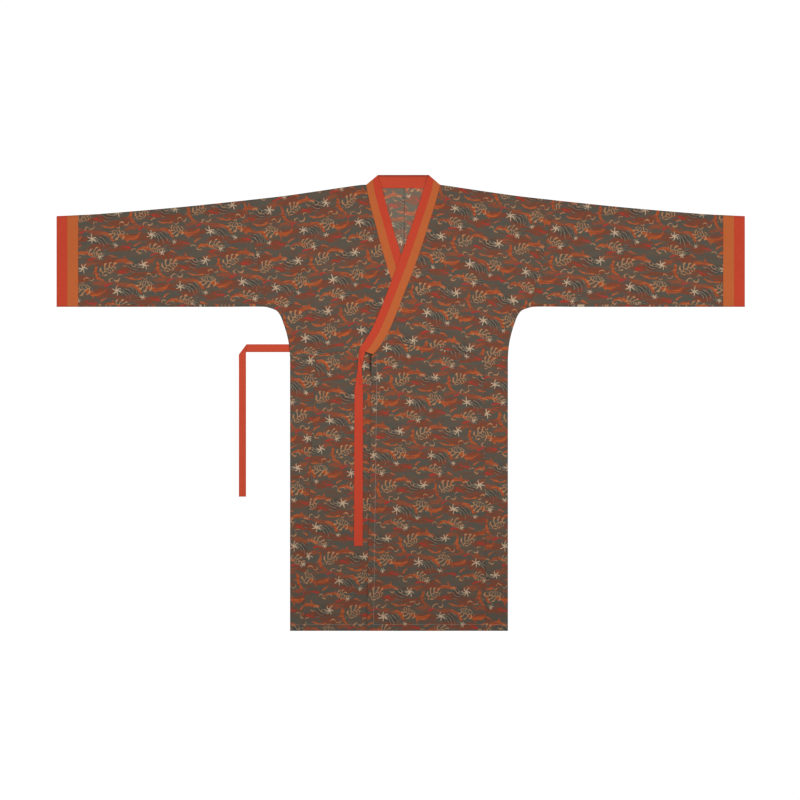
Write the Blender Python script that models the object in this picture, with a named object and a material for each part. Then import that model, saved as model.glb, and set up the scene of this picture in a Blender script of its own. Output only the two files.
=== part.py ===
"""Cross-collar robe laid out flat on its back, front up, with both sleeves spread.

Metres, +Z up. X runs along the sleeves and the wearer's left is +X, Y runs from the hem to the
neck, and the origin is at the middle of the underside. Every piece of cloth is a wall of one
thickness: its cut outline, drawn in plan from shared seam lines, lifted onto what lies below it.
"""
import math

import bmesh
import bpy
from mathutils import Vector
from mathutils.geometry import delaunay_2d_cdt

MM = 0.001

# Walls and layers (mm)
CLOTH = 1.0                       # one layer of the printed cloth
CUFF = 1.2                        # cuff band, turned in at its edge
BAND = 1.6                        # collar strip or tie, folded double
GAP = 0.3                         # air at a seam and between two layers
SEAM_INSET = GAP / 2.0            # each piece stops this far short of its seam line
FRONT_FLOOR = CLOTH + GAP         # underside of what lies on the back
OVER_FLOOR = FRONT_FLOOR + CLOTH + GAP        # underside of what lies on the under front
CROSS_FLOOR = FRONT_FLOOR + BAND + GAP        # underside of what lies on the under collar

# Whole robe (mm)
HALF_SPAN = 950.0                 # middle to cuff edge
TOP_Y = 629.3                     # top edge of the back neck band
HEM_Y = -629.3
BODY_X = -4.7                     # middle of the body
BODY_HALF = 300.7                 # half the flat width of the body
NECK_X = 4.0                      # middle of the neck opening
CENTRE_BACK_X = 10.0              # centre-back seam

# Shoulder and top of the sleeve: distance from the middle, height
TOP_LINE = ((104.5, 602.2), (320.0, 571.5), (430.0, 559.0), (620.0, 539.5), (850.0, 520.5),
            (890.0, 518.6), (920.5, 517.0), (950.0, 515.8))
SLEEVE_HEAD = 430.0               # where the sleeve seam meets the shoulder line
SLEEVE_FOOT = 62.0                # where it meets the underarm, out from the body's edge
FOOT_RUN = 6.0                    # and how far out the underarm seam is straight from there
CUFF_START = 890.0
CUFF_SPLIT = 920.5
SLEEVE_Y = 265.0                  # lower edge of the sleeve

# Underarm curve: distance out from the body's edge, height
UNDERARM = ((SLEEVE_FOOT, 263.8), (54.0, 261.5), (46.0, 258.8), (38.0, 255.0), (32.5, 249.5),
            (28.0, 243.0), (23.0, 232.5), (19.0, 221.0), (10.5, 195.0), (3.5, 163.0),
            (0.7, 137.0), (0.0, 121.2))
WAIST_Y = 121.2                   # waist seam at the side
WAIST_RISE = 0.144                # and its rise towards the middle
BACK_WAIST_Y = 164.5              # waist seam at the centre back

# Collar of the over front, from the shoulder fold to its end, measured from NECK_X:
# inner edge x, y; colour seam x, y; outer edge x, y
COLLAR = (
    (73.6, TOP_Y, 87.0, 617.5, 104.5, 602.2),
    (60.3, 592.0, 82.4, 592.0, 102.5, 592.0),
    (44.0, 542.0, 67.2, 542.0, 89.0, 542.0),
    (27.2, 492.0, 50.1, 492.0, 72.7, 492.0),
    (9.8, 442.5, 33.6, 442.5, 57.2, 442.5),
    (-8.7, 393.0, 16.1, 393.0, 40.4, 393.0),
    (-27.0, 343.5, -2.6, 343.5, 21.8, 343.5),
    (-45.7, 294.0, -21.7, 294.0, 2.3, 294.0),
    (-65.5, 244.0, -41.8, 244.0, -17.0, 244.0),
    (-88.7, 194.0, -64.4, 194.0, -39.1, 194.0),
    (-109.0, 163.0, -84.4, 161.0, -59.6, 159.0),
    (-118.8, 146.8, -99.2, 140.2, -79.6, 133.6),
)
INNER, SEAM, OUTER = 0, 2, 4      # columns of the collar table
UNDER_LEAN = 0.055                # the under front is drawn this much less far across
UNDER_LEAN_Y = 506.0              # and pivots at this height

# Back neck band: height of its lower edges between the shoulder corners, half length of that
BACK_BAND_SEAM = (611.0, 66.0)
BACK_BAND_FOOT = (592.8, 72.0)

# Front edges and skirt seams, x at the waist and at the hem
FREE_EDGE_Y = 131.2               # the free edge starts just below the collar's end
OVER_EDGE = (-80.6, -93.0)
UNDER_EDGE = (69.0, 80.0)
UNDER_EDGE_RUN = 60.0             # the collar's edge eases into the free edge over this
OVER_SIDE_SEAM = (229.9, 235.4)
UNDER_SIDE_SEAM = (-233.8, -269.7)

# Ties
TIE_STATIONS = (                  # left edge x, y; right edge x, y
    (-114.8, 146.5, -97.6, 140.7),
    (-117.0, 120.0, -102.6, 120.0),
    (-119.0, 93.6, -107.4, 93.6),
    (-123.4, 64.0, -105.4, 64.0),
    (-127.5, 35.6, -104.0, 35.6),
    (-129.2, -395.0, -104.6, -395.0),
)
SIDE_TIE_TOP = 162.0
SIDE_TIE_FOOT = 140.2
SIDE_TIE_FOLD = ((-425.6, 162.0), (-446.8, 133.6))    # the mitred fold, top and lower end
SIDE_TIE_INNER_X = -427.0
SIDE_TIE_TUCK = 2.0               # the lower run starts this far below the fold's top
SIDE_TIE_END_Y = -258.9

# Drape of the over layers past the edge of what they cover
REST_PAST_EDGE = 22.0             # stays up this far
DROP_RUN = 28.0                   # and comes down over this
GRID = (22.0, 46.0)               # spacing of a draped wall's points, across and along
GRID_MARGIN = 10.0                # and their distance from its edges
SAME_POINT = 0.01                 # corners closer than this are one

PRINT = ((0.118, 0.084, 0.060), 0.85)
RED = ((0.546, 0.063, 0.032), 0.75)
ORANGE = ((0.479, 0.122, 0.037), 0.75)


def lerp(a, b, t):
    """Value between a and b."""
    return a + (b - a) * t


def smooth(t):
    """Smooth step from 0 to 1."""
    t = min(max(t, 0.0), 1.0)
    return t * t * (3.0 - 2.0 * t)


def read_line(table, x):
    """Read a table of (x, y) rows, sorted by x, at x."""
    for (x0, y0), (x1, y1) in zip(table, table[1:]):
        if x <= x1:
            return lerp(y0, y1, (x - x0) / (x1 - x0))
    return table[-1][1]


def top_y(x):
    """Height of the shoulder and sleeve top line at x."""
    return read_line(TOP_LINE, max(abs(x), TOP_LINE[0][0]))


def body_edge(side):
    """X of the body's edge on one side, +1 for the wearer's left."""
    return BODY_X + side * BODY_HALF


def waist_y(side, x):
    """Height of a front waist seam at x."""
    return WAIST_Y + WAIST_RISE * abs(body_edge(side) - x)


def collar_edge(side, column):
    """One edge of a collar band, from the shoulder fold down: +1 is the over front's."""
    points = []
    for row in COLLAR:
        x, y = row[column], row[column + 1]
        lean = 0.0 if side > 0 else UNDER_LEAN * (y - UNDER_LEAN_Y)
        points.append((NECK_X + side * x + lean, y))
    return points


def cut_above(points, side):
    """Split a falling edge where it crosses the front waist seam."""
    for i, (a, b) in enumerate(zip(points, points[1:])):
        over_a = a[1] - waist_y(side, a[0])
        over_b = b[1] - waist_y(side, b[0])
        if over_a > 0.0 >= over_b:
            t = over_a / (over_a - over_b)
            cross = (lerp(a[0], b[0], t), lerp(a[1], b[1], t))
            return points[:i + 1] + [cross], [cross] + points[i + 1:]
    return points, []


def underarm(side):
    """The underarm curve, from the sleeve seam down to the waist."""
    return [(body_edge(side) + side * out, y) for out, y in UNDERARM]


def side_edge_point(side, y):
    """Point on the body's side, or on the underarm curve above it, at height y."""
    out = read_line([(row_y, row_out) for row_out, row_y in UNDERARM][::-1], y)
    return (body_edge(side) + side * out, y)


def top_stretch(side, near, far):
    """The top line between two distances from the middle."""
    inner = [d for d, _ in TOP_LINE if near < d < far]
    return [(side * d, top_y(d)) for d in [near] + inner + [far]]


def sleeve_outline(side, near, far):
    """Outline of a stretch of the sleeve between two distances from the middle."""
    head = top_stretch(side, near, far)
    return head + [(side * far, SLEEVE_Y), (side * near, SLEEVE_Y)]


def sleeve_panel(side):
    """Sleeve from its seam to the cuff."""
    foot = underarm(side)[0]
    head = top_stretch(side, SLEEVE_HEAD, CUFF_START)
    return head + [(side * CUFF_START, SLEEVE_Y), (foot[0] + side * FOOT_RUN, SLEEVE_Y), foot]


def bodice_side(side):
    """Shoulder from the neck corner out, sleeve seam and underarm, down to the waist."""
    neck = (NECK_X + side * TOP_LINE[0][0], TOP_LINE[0][1])
    shoulder = top_stretch(side, abs(neck[0]), SLEEVE_HEAD)[1:]
    return [neck] + shoulder + underarm(side)


def bodice_front(side):
    """Front bodice half, between its collar band, the sleeve and the waist seam."""
    upper, _ = cut_above(collar_edge(side, OUTER), side)
    return bodice_side(side)[1:] + upper[::-1]


def bodice_back(side):
    """Back bodice half, from the centre-back seam to the sleeve."""
    foot_y, foot_half = BACK_BAND_FOOT
    neck = [(CENTRE_BACK_X, foot_y), (NECK_X + side * foot_half, foot_y)]
    return neck + bodice_side(side) + [(CENTRE_BACK_X, BACK_WAIST_Y)]


def skirt_back(side):
    """Back skirt half."""
    edge = body_edge(side)
    return [(CENTRE_BACK_X, BACK_WAIST_Y), (edge, WAIST_Y), (edge, HEM_Y), (CENTRE_BACK_X, HEM_Y)]


def skirt_front(side):
    """Front skirt panel, from the free edge to the seam of the side panel."""
    free, seam = (OVER_EDGE, OVER_SIDE_SEAM) if side > 0 else (UNDER_EDGE, UNDER_SIDE_SEAM)
    _, lower = cut_above(collar_edge(side, OUTER), side)
    return ([(seam[0], waist_y(side, seam[0])), (seam[1], HEM_Y), (free[1], HEM_Y),
             (free[0], FREE_EDGE_Y)] + lower[::-1])


def skirt_side(side):
    """Narrow side panel of the skirt."""
    seam = OVER_SIDE_SEAM if side > 0 else UNDER_SIDE_SEAM
    edge = body_edge(side)
    return [(seam[0], waist_y(side, seam[0])), (edge, WAIST_Y), (edge, HEM_Y), (seam[1], HEM_Y)]


def band(side, first, second):
    """Collar strip between two of its edges."""
    return collar_edge(side, first) + collar_edge(side, second)[::-1]


def neck_edge(column, flat_y, half):
    """An edge of the back neck band: shoulder corner, level stretch, shoulder corner."""
    right = collar_edge(-1, column)[0]
    left = collar_edge(1, column)[0]
    return [right, (NECK_X - half, flat_y), (NECK_X + half, flat_y), left]


def back_band(upper, lower):
    """Strip of the back neck band between two of its edges."""
    return upper + lower[::-1]


def signed_area(outline):
    """Area of an outline, positive when it runs anticlockwise."""
    pairs = zip(outline, outline[1:] + outline[:1])
    return sum(a[0] * b[1] - b[0] * a[1] for a, b in pairs) / 2.0


def tidy_outline(outline):
    """Anticlockwise outline without doubled points."""
    points = []
    for point in outline:
        if not points or math.dist(point, points[-1]) > SAME_POINT:
            points.append(point)
    if math.dist(points[0], points[-1]) < SAME_POINT:
        points.pop()
    return points if signed_area(points) > 0.0 else points[::-1]


def inset(outline, distance):
    """Outline moved inwards by a distance, corner by corner."""
    moved = []
    for before, point, after in zip(outline[-1:] + outline[:-1], outline, outline[1:] + outline[:1]):
        a = (Vector(point) - Vector(before)).normalized()
        b = (Vector(after) - Vector(point)).normalized()
        normal_a = Vector((-a.y, a.x))
        normal_b = Vector((-b.y, b.x))
        mitre = (normal_a + normal_b) / (1.0 + normal_a.dot(normal_b))
        moved.append(tuple(Vector(point) + mitre * distance))
    return moved


def subdivide(outline, step):
    """Outline with its long edges divided."""
    points = []
    for a, b in zip(outline, outline[1:] + outline[:1]):
        count = max(1, round(math.dist(a, b) / step))
        points += [(lerp(a[0], b[0], i / count), lerp(a[1], b[1], i / count)) for i in range(count)]
    return points


def is_inside(point, outline, clearance):
    """Whether a point is in an outline and clear of its edges."""
    x, y = point
    inside = False
    for (x0, y0), (x1, y1) in zip(outline, outline[1:] + outline[:1]):
        if (y0 > y) != (y1 > y) and x < x0 + (y - y0) / (y1 - y0) * (x1 - x0):
            inside = not inside
        edge = Vector((x1 - x0, y1 - y0))
        t = min(max(Vector((x - x0, y - y0)).dot(edge) / edge.length_squared, 0.0), 1.0)
        if math.dist((x, y), (x0 + edge.x * t, y0 + edge.y * t)) < clearance:
            return False
    return inside


def grid_points(outline):
    """Regular points inside an outline, for a wall that follows the layers below it."""
    across, along = GRID
    xs = [p[0] for p in outline]
    ys = [p[1] for p in outline]
    points = []
    for i in range(math.ceil(min(xs) / across), math.floor(max(xs) / across) + 1):
        for j in range(math.ceil(min(ys) / along), math.floor(max(ys) / along) + 1):
            point = (i * across, j * along)
            if is_inside(point, outline, GRID_MARGIN):
                points.append(point)
    return points


def under_edge_x(y):
    """X of the hidden edge that the over layers pass at height y."""
    inner = [(py, px) for px, py in collar_edge(-1, INNER)][::-1]
    end_y = inner[0][0]
    if y >= end_y:
        return read_line(inner, min(y, inner[-1][0]))
    skirt_x = lerp(*UNDER_EDGE, (FREE_EDGE_Y - y) / (FREE_EDGE_Y - HEM_Y))
    return lerp(inner[0][1], skirt_x, smooth((end_y - y) / UNDER_EDGE_RUN))


def over_floor(x, y):
    """Underside of the over front and both collar bands, where they may cover others."""
    past = x - under_edge_x(y)
    band_width = COLLAR[3][OUTER] - COLLAR[3][INNER]
    on_under = smooth(1.0 - (past - REST_PAST_EDGE) / DROP_RUN)
    height = lerp(FRONT_FLOOR, OVER_FLOOR, on_under)
    collar_end = collar_edge(-1, OUTER)[-1][1]
    on_band = on_under * smooth(1.0 + (past + band_width + REST_PAST_EDGE) / DROP_RUN)
    on_band *= smooth(1.0 + (y - collar_end + REST_PAST_EDGE) / DROP_RUN)
    return max(height + (CROSS_FLOOR - OVER_FLOOR) * on_band, neck_floor(x, y))


def neck_floor(_x, y):
    """Underside of the front bands where they lie on the back neck band."""
    rise = smooth(1.0 + (y - BACK_BAND_FOOT[0] + REST_PAST_EDGE) / DROP_RUN)
    return lerp(FRONT_FLOOR, OVER_FLOOR, rise)


def tie_drop_floor(_x, y):
    """Underside of the side tie's lower run, which starts on the fold."""
    return (BAND + GAP) * smooth(1.0 + (y - SIDE_TIE_FOOT + REST_PAST_EDGE) / DROP_RUN)


def material(name, finish):
    """A plain finish for one kind of cloth."""
    colour, roughness = finish
    made = bpy.data.materials.new(name)
    made.use_nodes = True
    shader = made.node_tree.nodes["Principled BSDF"]
    shader.inputs["Base Color"].default_value = (*colour, 1.0)
    shader.inputs["Roughness"].default_value = roughness
    shader.inputs["Metallic"].default_value = 0.0
    made.diffuse_color = (*colour, 1.0)
    return made


def cloth(name, outline, thickness, floor, finish, step=None):
    """One piece: its outline filled, lifted onto its floor and given its thickness.

    floor is a height in mm, or a function of x and y; then step divides the edges.
    """
    outline = inset(tidy_outline(outline), SEAM_INSET)
    interior = []
    if step:
        interior = grid_points(outline)
        outline = subdivide(outline, step)
    count = len(outline)
    points = [Vector(p) for p in outline + interior]
    ring = [(i, (i + 1) % count) for i in range(count)]
    verts, _, faces, *_ = delaunay_2d_cdt(points, ring, [list(range(count))], 1, 1e-4)
    mesh = bmesh.new()
    heights = [floor(v.x, v.y) if callable(floor) else floor for v in verts]
    low = [mesh.verts.new((v.x * MM, v.y * MM, z * MM)) for v, z in zip(verts, heights)]
    high = [mesh.verts.new((v.x * MM, v.y * MM, (z + thickness) * MM)) for v, z in zip(verts, heights)]
    walls = {}
    for face in faces:
        mesh.faces.new([high[i] for i in face])
        mesh.faces.new([low[i] for i in reversed(face)])
        for edge in zip(face, face[1:] + face[:1]):
            walls[edge] = walls.get(edge, 0) + 1
    for a, b in walls:
        if (b, a) not in walls:
            mesh.faces.new([high[b], high[a], low[a], low[b]])
    bmesh.ops.triangulate(mesh, faces=mesh.faces[:])
    bmesh.ops.recalc_face_normals(mesh, faces=mesh.faces[:])
    data = bpy.data.meshes.new(name)
    mesh.to_mesh(data)
    mesh.free()
    data.materials.append(finish)
    piece = bpy.data.objects.new(name, data)
    bpy.context.collection.objects.link(piece)
    return piece


def build_body(printed):
    """Bodice and skirt."""
    for name, side in (("left", 1), ("right", -1)):
        cloth(f"bodice_back_{name}", bodice_back(side), CLOTH, 0.0, printed)
        cloth(f"skirt_back_{name}", skirt_back(side), CLOTH, 0.0, printed)
        cloth(f"skirt_side_{name}", skirt_side(side), CLOTH, FRONT_FLOOR, printed)
    cloth("bodice_front_right", bodice_front(-1), CLOTH, FRONT_FLOOR, printed)
    cloth("skirt_front_right", skirt_front(-1), CLOTH, FRONT_FLOOR, printed)
    cloth("bodice_front_left", bodice_front(1), CLOTH, over_floor, printed, GRID[0])
    cloth("skirt_front_left", skirt_front(1), CLOTH, over_floor, printed, GRID[0])


def build_sleeves(printed, red, orange):
    """Sleeves and their two-colour cuffs, front layer on back layer."""
    for name, side in (("left", 1), ("right", -1)):
        for layer, floor, cuff_floor in (("back", 0.0, 0.0), ("front", FRONT_FLOOR, CUFF + GAP)):
            cloth(f"sleeve_{name}_{layer}", sleeve_panel(side), CLOTH, floor, printed)
            inner = sleeve_outline(side, CUFF_START, CUFF_SPLIT)
            cloth(f"cuff_{name}_inner_{layer}", inner, CUFF, cuff_floor, orange)
            outer = sleeve_outline(side, CUFF_SPLIT, HALF_SPAN)
            cloth(f"cuff_{name}_outer_{layer}", outer, CUFF, cuff_floor, red)


def build_collar(red, orange):
    """Collar bands of both fronts and of the back neck."""
    cloth("collar_left_red", band(1, INNER, SEAM), BAND, over_floor, red, GRID[0])
    cloth("collar_left_orange", band(1, SEAM, OUTER), BAND, over_floor, orange, GRID[0])
    cloth("collar_right_red", band(-1, INNER, SEAM), BAND, neck_floor, red, GRID[0])
    cloth("collar_right_orange", band(-1, SEAM, OUTER), BAND, neck_floor, orange, GRID[0])
    top = [collar_edge(-1, INNER)[0], collar_edge(1, INNER)[0]]
    middle = neck_edge(SEAM, *BACK_BAND_SEAM)
    foot = neck_edge(OUTER, *BACK_BAND_FOOT)
    cloth("collar_back_red", back_band(top, middle), CLOTH, 0.0, red)
    cloth("collar_back_orange", back_band(middle, foot), CLOTH, 0.0, orange)
    cloth("collar_back_facing", back_band(top, foot), CLOTH, FRONT_FLOOR, red)


def build_ties(red):
    """Front tie at the collar's end, and the side tie in its two runs."""
    left = [(row[0], row[1]) for row in TIE_STATIONS]
    right = [(row[2], row[3]) for row in TIE_STATIONS]
    cloth("tie_front", left + right[::-1], BAND, OVER_FLOOR, red)
    fold_top, fold_foot = SIDE_TIE_FOLD
    along = (SIDE_TIE_TOP - SIDE_TIE_FOOT) / (fold_top[1] - fold_foot[1])
    run_end = (lerp(fold_top[0], fold_foot[0], along), SIDE_TIE_FOOT)
    start_top, start_foot = (side_edge_point(-1, y) for y in (SIDE_TIE_TOP, SIDE_TIE_FOOT))
    cloth("tie_side_run", [start_top, fold_top, run_end, start_foot], BAND, 0.0, red)
    drop = [fold_top, fold_foot, (fold_foot[0], SIDE_TIE_END_Y), (SIDE_TIE_INNER_X, SIDE_TIE_END_Y),
            (SIDE_TIE_INNER_X, SIDE_TIE_TOP - SIDE_TIE_TUCK)]
    cloth("tie_side_drop", drop, BAND, tie_drop_floor, red, GRID[0])


def main():
    """Build every piece."""
    for old in list(bpy.data.objects):
        bpy.data.objects.remove(old)
    printed = material("printed_cloth", PRINT)
    red = material("red_cloth", RED)
    orange = material("orange_cloth", ORANGE)
    build_body(printed)
    build_sleeves(printed, red, orange)
    build_collar(red, orange)
    build_ties(red)


main()
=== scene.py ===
"""Looks of the cross-collar robe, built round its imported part.

Metres, +Z up, in the part's own frame; sizes and tables here are in millimetres. The robe lies on
its back with its front up, the wearer's left is +X and the neck is at +Y. Every piece of cloth is
a closed shell over its CAD solid, cut from the same seam lines, with its print on its own UV map.
"""
import logging
import math
from collections.abc import Callable, Iterable
from dataclasses import dataclass, field
from enum import Enum
from functools import partialmethod, reduce
from typing import NamedTuple

import bpy
import numpy as np
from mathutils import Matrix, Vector
from mathutils.geometry import delaunay_2d_cdt


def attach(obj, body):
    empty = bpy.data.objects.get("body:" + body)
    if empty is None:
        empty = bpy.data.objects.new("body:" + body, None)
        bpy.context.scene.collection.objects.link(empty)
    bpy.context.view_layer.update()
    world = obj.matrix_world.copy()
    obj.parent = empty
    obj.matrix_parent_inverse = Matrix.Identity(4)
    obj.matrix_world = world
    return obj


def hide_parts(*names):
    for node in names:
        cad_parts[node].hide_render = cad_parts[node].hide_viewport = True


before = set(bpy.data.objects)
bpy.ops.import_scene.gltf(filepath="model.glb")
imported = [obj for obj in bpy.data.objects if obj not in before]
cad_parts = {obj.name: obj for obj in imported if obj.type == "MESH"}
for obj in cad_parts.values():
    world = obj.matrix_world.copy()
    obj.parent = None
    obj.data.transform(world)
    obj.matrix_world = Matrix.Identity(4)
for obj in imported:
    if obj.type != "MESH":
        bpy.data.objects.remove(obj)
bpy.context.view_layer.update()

LOG = logging.getLogger("robe")
MM = 0.001

Point = tuple[float, float]
Line = list[Point]
Array = np.ndarray
Height = Callable[[Array, Array], Array]
Colour = tuple[float, float, float]
Piece = bpy.types.Object
Socket = bpy.types.NodeSocket
Tree = bpy.types.NodeTree


# --- Sizes shared with the part ---

CLOTH = 1.0  # one layer of the printed cloth in the part
CUFF = 1.2
BAND = 1.6
GAP = 0.3
SEAM_INSET = 0.005  # sewn pieces meet, with a hair's breadth between shells
FLOOR_CLEAR = 0.02  # the lowest shells' height above the floor
FRONT_FLOOR = CLOTH + GAP
OVER_FLOOR = FRONT_FLOOR + CLOTH + GAP
CROSS_FLOOR = FRONT_FLOOR + BAND + GAP
CLOTH_WALL = 0.9  # the shell's own wall, a little finer than the part's
CUFF_WALL = 1.05
BAND_WALL = 1.5
BAND_RIM = (0.45, 1.4, 3.2)  # insets of the rows of points along a thick shell's rim

HALF_SPAN = 950.0
HEM_Y = -629.3
BODY_X = -4.7
BODY_HALF = 300.7
NECK_X = 4.0
CENTRE_BACK_X = 10.0
SLEEVE_HEAD = 430.0
CUFF_START = 890.0
CUFF_SPLIT = 920.5
SLEEVE_Y = 265.0
SLEEVE_FOOT_RUN = 6.0  # the underarm seam's first rise at the sleeve seam
WAIST_Y = 121.2
WAIST_RISE = 0.144
BACK_WAIST_Y = 164.5
UNDER_LEAN = 0.055  # the under collar's slant against the over collar's
UNDER_LEAN_Y = 506.0
UNDER_EDGE_RUN = 60.0  # from its collar's end to its free edge
FREE_EDGE_Y = 131.2
OVER_EDGE = (-80.6, -93.0)
UNDER_EDGE = (69.0, 80.0)
OVER_SIDE_SEAM = (229.9, 235.4)
UNDER_SIDE_SEAM = (-233.8, -269.7)
BACK_BAND_SEAM = (611.0, 66.0)
BACK_BAND_FOOT = (592.8, 72.0)
REST_PAST_EDGE = 22.0
DROP_RUN = 28.0
HEM_LINE_Y = HEM_Y + 18.0  # the turned-up hem's stitch line
HEM_LAYER, FACING_LAYER = 0.35, 0.55  # how far a turned hem and facing stand up
TURN_RUN = 1.4  # half the run of the step up to them
FACING_EDGE = (-65.4, -75.0)  # x of the overlap's stitch line, top and hem
SIDE_TIE_TOP = 162.0
SIDE_TIE_FOOT = 140.2
SIDE_TIE_TUCK = 2.0
SIDE_TIE_FOLD = ((-425.6, 162.0), (-446.8, 133.6))
SIDE_TIE_INNER_X = -427.0
SIDE_TIE_END_Y = -258.9

# Top line of the shoulder and sleeve: distance from the middle, height
TOP_LINE = ((104.5, 602.2), (320.0, 571.5), (430.0, 559.0), (620.0, 539.5), (850.0, 520.5),
            (890.0, 518.6), (920.5, 517.0), (950.0, 515.8))
# Underarm curve: distance out from the body's edge, height
UNDERARM = ((62.0, 263.8), (54.0, 261.5), (46.0, 258.8), (38.0, 255.0), (32.5, 249.5),
            (28.0, 243.0), (23.0, 232.5), (19.0, 221.0), (10.5, 195.0), (3.5, 163.0),
            (0.7, 137.0), (0.0, 121.2))
# The over collar's edges from the shoulder down, with x measured from NECK_X
COLLAR = {
    "inner": ((73.6, 629.3), (60.3, 592.0), (44.0, 542.0), (27.2, 492.0), (9.8, 442.5),
              (-8.7, 393.0), (-27.0, 343.5), (-45.7, 294.0), (-65.5, 244.0), (-88.7, 194.0),
              (-109.0, 163.0), (-118.8, 146.8)),
    "seam": ((87.0, 617.5), (82.4, 592.0), (67.2, 542.0), (50.1, 492.0), (33.6, 442.5),
             (16.1, 393.0), (-2.6, 343.5), (-21.7, 294.0), (-41.8, 244.0), (-64.4, 194.0),
             (-84.4, 161.0), (-99.2, 140.2)),
    "outer": ((104.5, 602.2), (102.5, 592.0), (89.0, 542.0), (72.7, 492.0), (57.2, 442.5),
              (40.4, 393.0), (21.8, 343.5), (2.3, 294.0), (-17.0, 244.0), (-39.1, 194.0),
              (-59.6, 159.0), (-79.6, 133.6)),
}
# The front tie's two edges, from the collar's end down
TIE_LEFT = ((-114.8, 146.5), (-117.0, 120.0), (-119.0, 93.6), (-123.4, 64.0), (-127.5, 35.6),
            (-129.2, -395.0))
TIE_RIGHT = ((-97.6, 140.7), (-102.6, 120.0), (-107.4, 93.6), (-105.4, 64.0), (-104.0, 35.6),
             (-104.6, -395.0))


class Side(Enum):
    """A side of the robe, as the sign of its x."""

    LEFT = 1
    RIGHT = -1

    @property
    def label(self) -> str:
        """The side's word in the pieces' names."""
        return self.name.lower()


class Face(Enum):
    """Which face of a shell shows the cloth's wrong side."""

    NONE = 0
    TOP = 1
    BOTTOM = 2


class EdgeStyle(NamedTuple):
    """How a shell ends at an edge."""

    roll: float  # how far it bends up or down
    reach: float  # how far in the bend starts
    shade: float  # how dark the painted shade along it is
    line: float  # how wide that painted shade is
    thin: float = 0.35  # its thickness at the very edge, as a share of the wall


class EdgeKind(Enum):
    """The edges that the robe's pieces have."""

    SEAM = EdgeStyle(-0.08, 1.8, 0.26, 1.3, 0.5)  # sewn to the piece beside it
    CENTRE_SEAM = EdgeStyle(-0.1, 2.2, 0.9, 1.7)  # the same, with a line of painted shade
    BAND_SEAM = EdgeStyle(0.0, 1.4, 0.0, 1.0, 0.95)  # between the two strips of a band
    BAND_JOIN = EdgeStyle(-0.12, 2.2, 0.15, 1.6, 0.5)  # where cloth is sewn to a band
    SIDE_FRONT = EdgeStyle(-0.2, 4.0, 0.8, 2.6)  # closes down on the layer below
    SIDE_BACK = EdgeStyle(0.2, 4.0, 0.8, 2.6)  # closes up to the layer above
    FOLDED = EdgeStyle(0.0, 1.5, 0.08, 1.6)  # a folded edge of a band or tie
    TIE_FOLD = EdgeStyle(0.0, 3.4, 0.45, 3.0)  # a tie's edge with its fold showing darker
    HEM = EdgeStyle(0.0, 1.5, 0.3, 2.1)
    FREE = EdgeStyle(0.1, 3.0, 0.2, 1.6)  # the over front's free edge


# --- Small helpers ---


def ease(t: Array | float) -> Array:
    """Smooth step from 0 to 1."""
    t = np.clip(t, 0.0, 1.0)
    return t * t * (3.0 - 2.0 * t)


def resting(inside: Array) -> Array:
    """1 on what a layer rests on, falling to 0 past it. Inside is the distance from its edge."""
    return ease(1.0 + (inside + REST_PAST_EDGE) / DROP_RUN)


def blend(a: Array | float, b: Array | float, t: Array | float) -> Array | float:
    """Value between a and b."""
    return a + (b - a) * t


def linear(*colour: int) -> Colour:
    """Scene-linear colour of an sRGB one given in 0 to 255."""
    return tuple(c / 255.0 / 12.92 if c <= 10.0 else ((c / 255.0 + 0.055) / 1.055) ** 2.4
                 for c in colour)


def sampled(line: Line, step: float, curved: bool = True) -> Array:
    """Points along a line at an even step, on a smooth curve through its corners.

    Args:
        line: The points that the curve passes.
        step: Distance between samples.
        curved: False keeps the line's own straight stretches.

    Returns:
        The samples, ends included.
    """
    points = np.array(line, float)
    if curved and len(points) > 2:
        ends = (2 * points[0] - points[1], 2 * points[-1] - points[-2])
        full = np.vstack([ends[0], points, ends[1]])
        fine = []
        for p0, p1, p2, p3 in zip(full, full[1:], full[2:], full[3:]):
            knots = np.cumsum([0.0] + [math.sqrt(max(np.linalg.norm(b - a), 1e-6))
                                       for a, b in ((p0, p1), (p1, p2), (p2, p3))])
            t = np.linspace(knots[1], knots[2], 16, endpoint=False)[:, None]
            parts = [p0, p1, p2, p3]
            for reach, starts in ((1, (0, 1, 2)), (2, (0, 1)), (1, (1,))):
                parts = [blend(a, b, (t - knots[i]) / (knots[i + reach] - knots[i]))
                         for i, a, b in zip(starts, parts, parts[1:])]
            fine.append(parts[0])
        points = np.vstack(fine + [points[-1:]])
    along = np.concatenate([[0.0], np.cumsum(np.linalg.norm(np.diff(points, axis=0), axis=1))])
    if curved or len(line) == 2:
        count = max(1, round(along[-1] / step))
        places = np.linspace(0.0, along[-1], count + 1)
    else:
        places = np.unique(np.concatenate(
            [np.linspace(a, b, max(1, round((b - a) / step)) + 1)
             for a, b in zip(along, along[1:])]))
    return np.stack([np.interp(places, along, points[:, i]) for i in (0, 1)], axis=1)


def distance_to(points: Array, starts: Array, ends: Array) -> Array:
    """Distance from each point to the nearest of some segments.

    Args:
        points: The points, one a row.
        starts: First ends of the segments.
        ends: Second ends of the segments.

    Returns:
        One distance for each point.
    """
    nearest = np.full(len(points), 1e9)
    for a, b in zip(starts, ends):
        run = b - a
        t = np.clip((points - a) @ run / max(run @ run, 1e-12), 0.0, 1.0)
        away = points - a - t[:, None] * run
        nearest = np.minimum(nearest, np.einsum("ij,ij->i", away, away))
    return np.sqrt(nearest)


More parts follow.
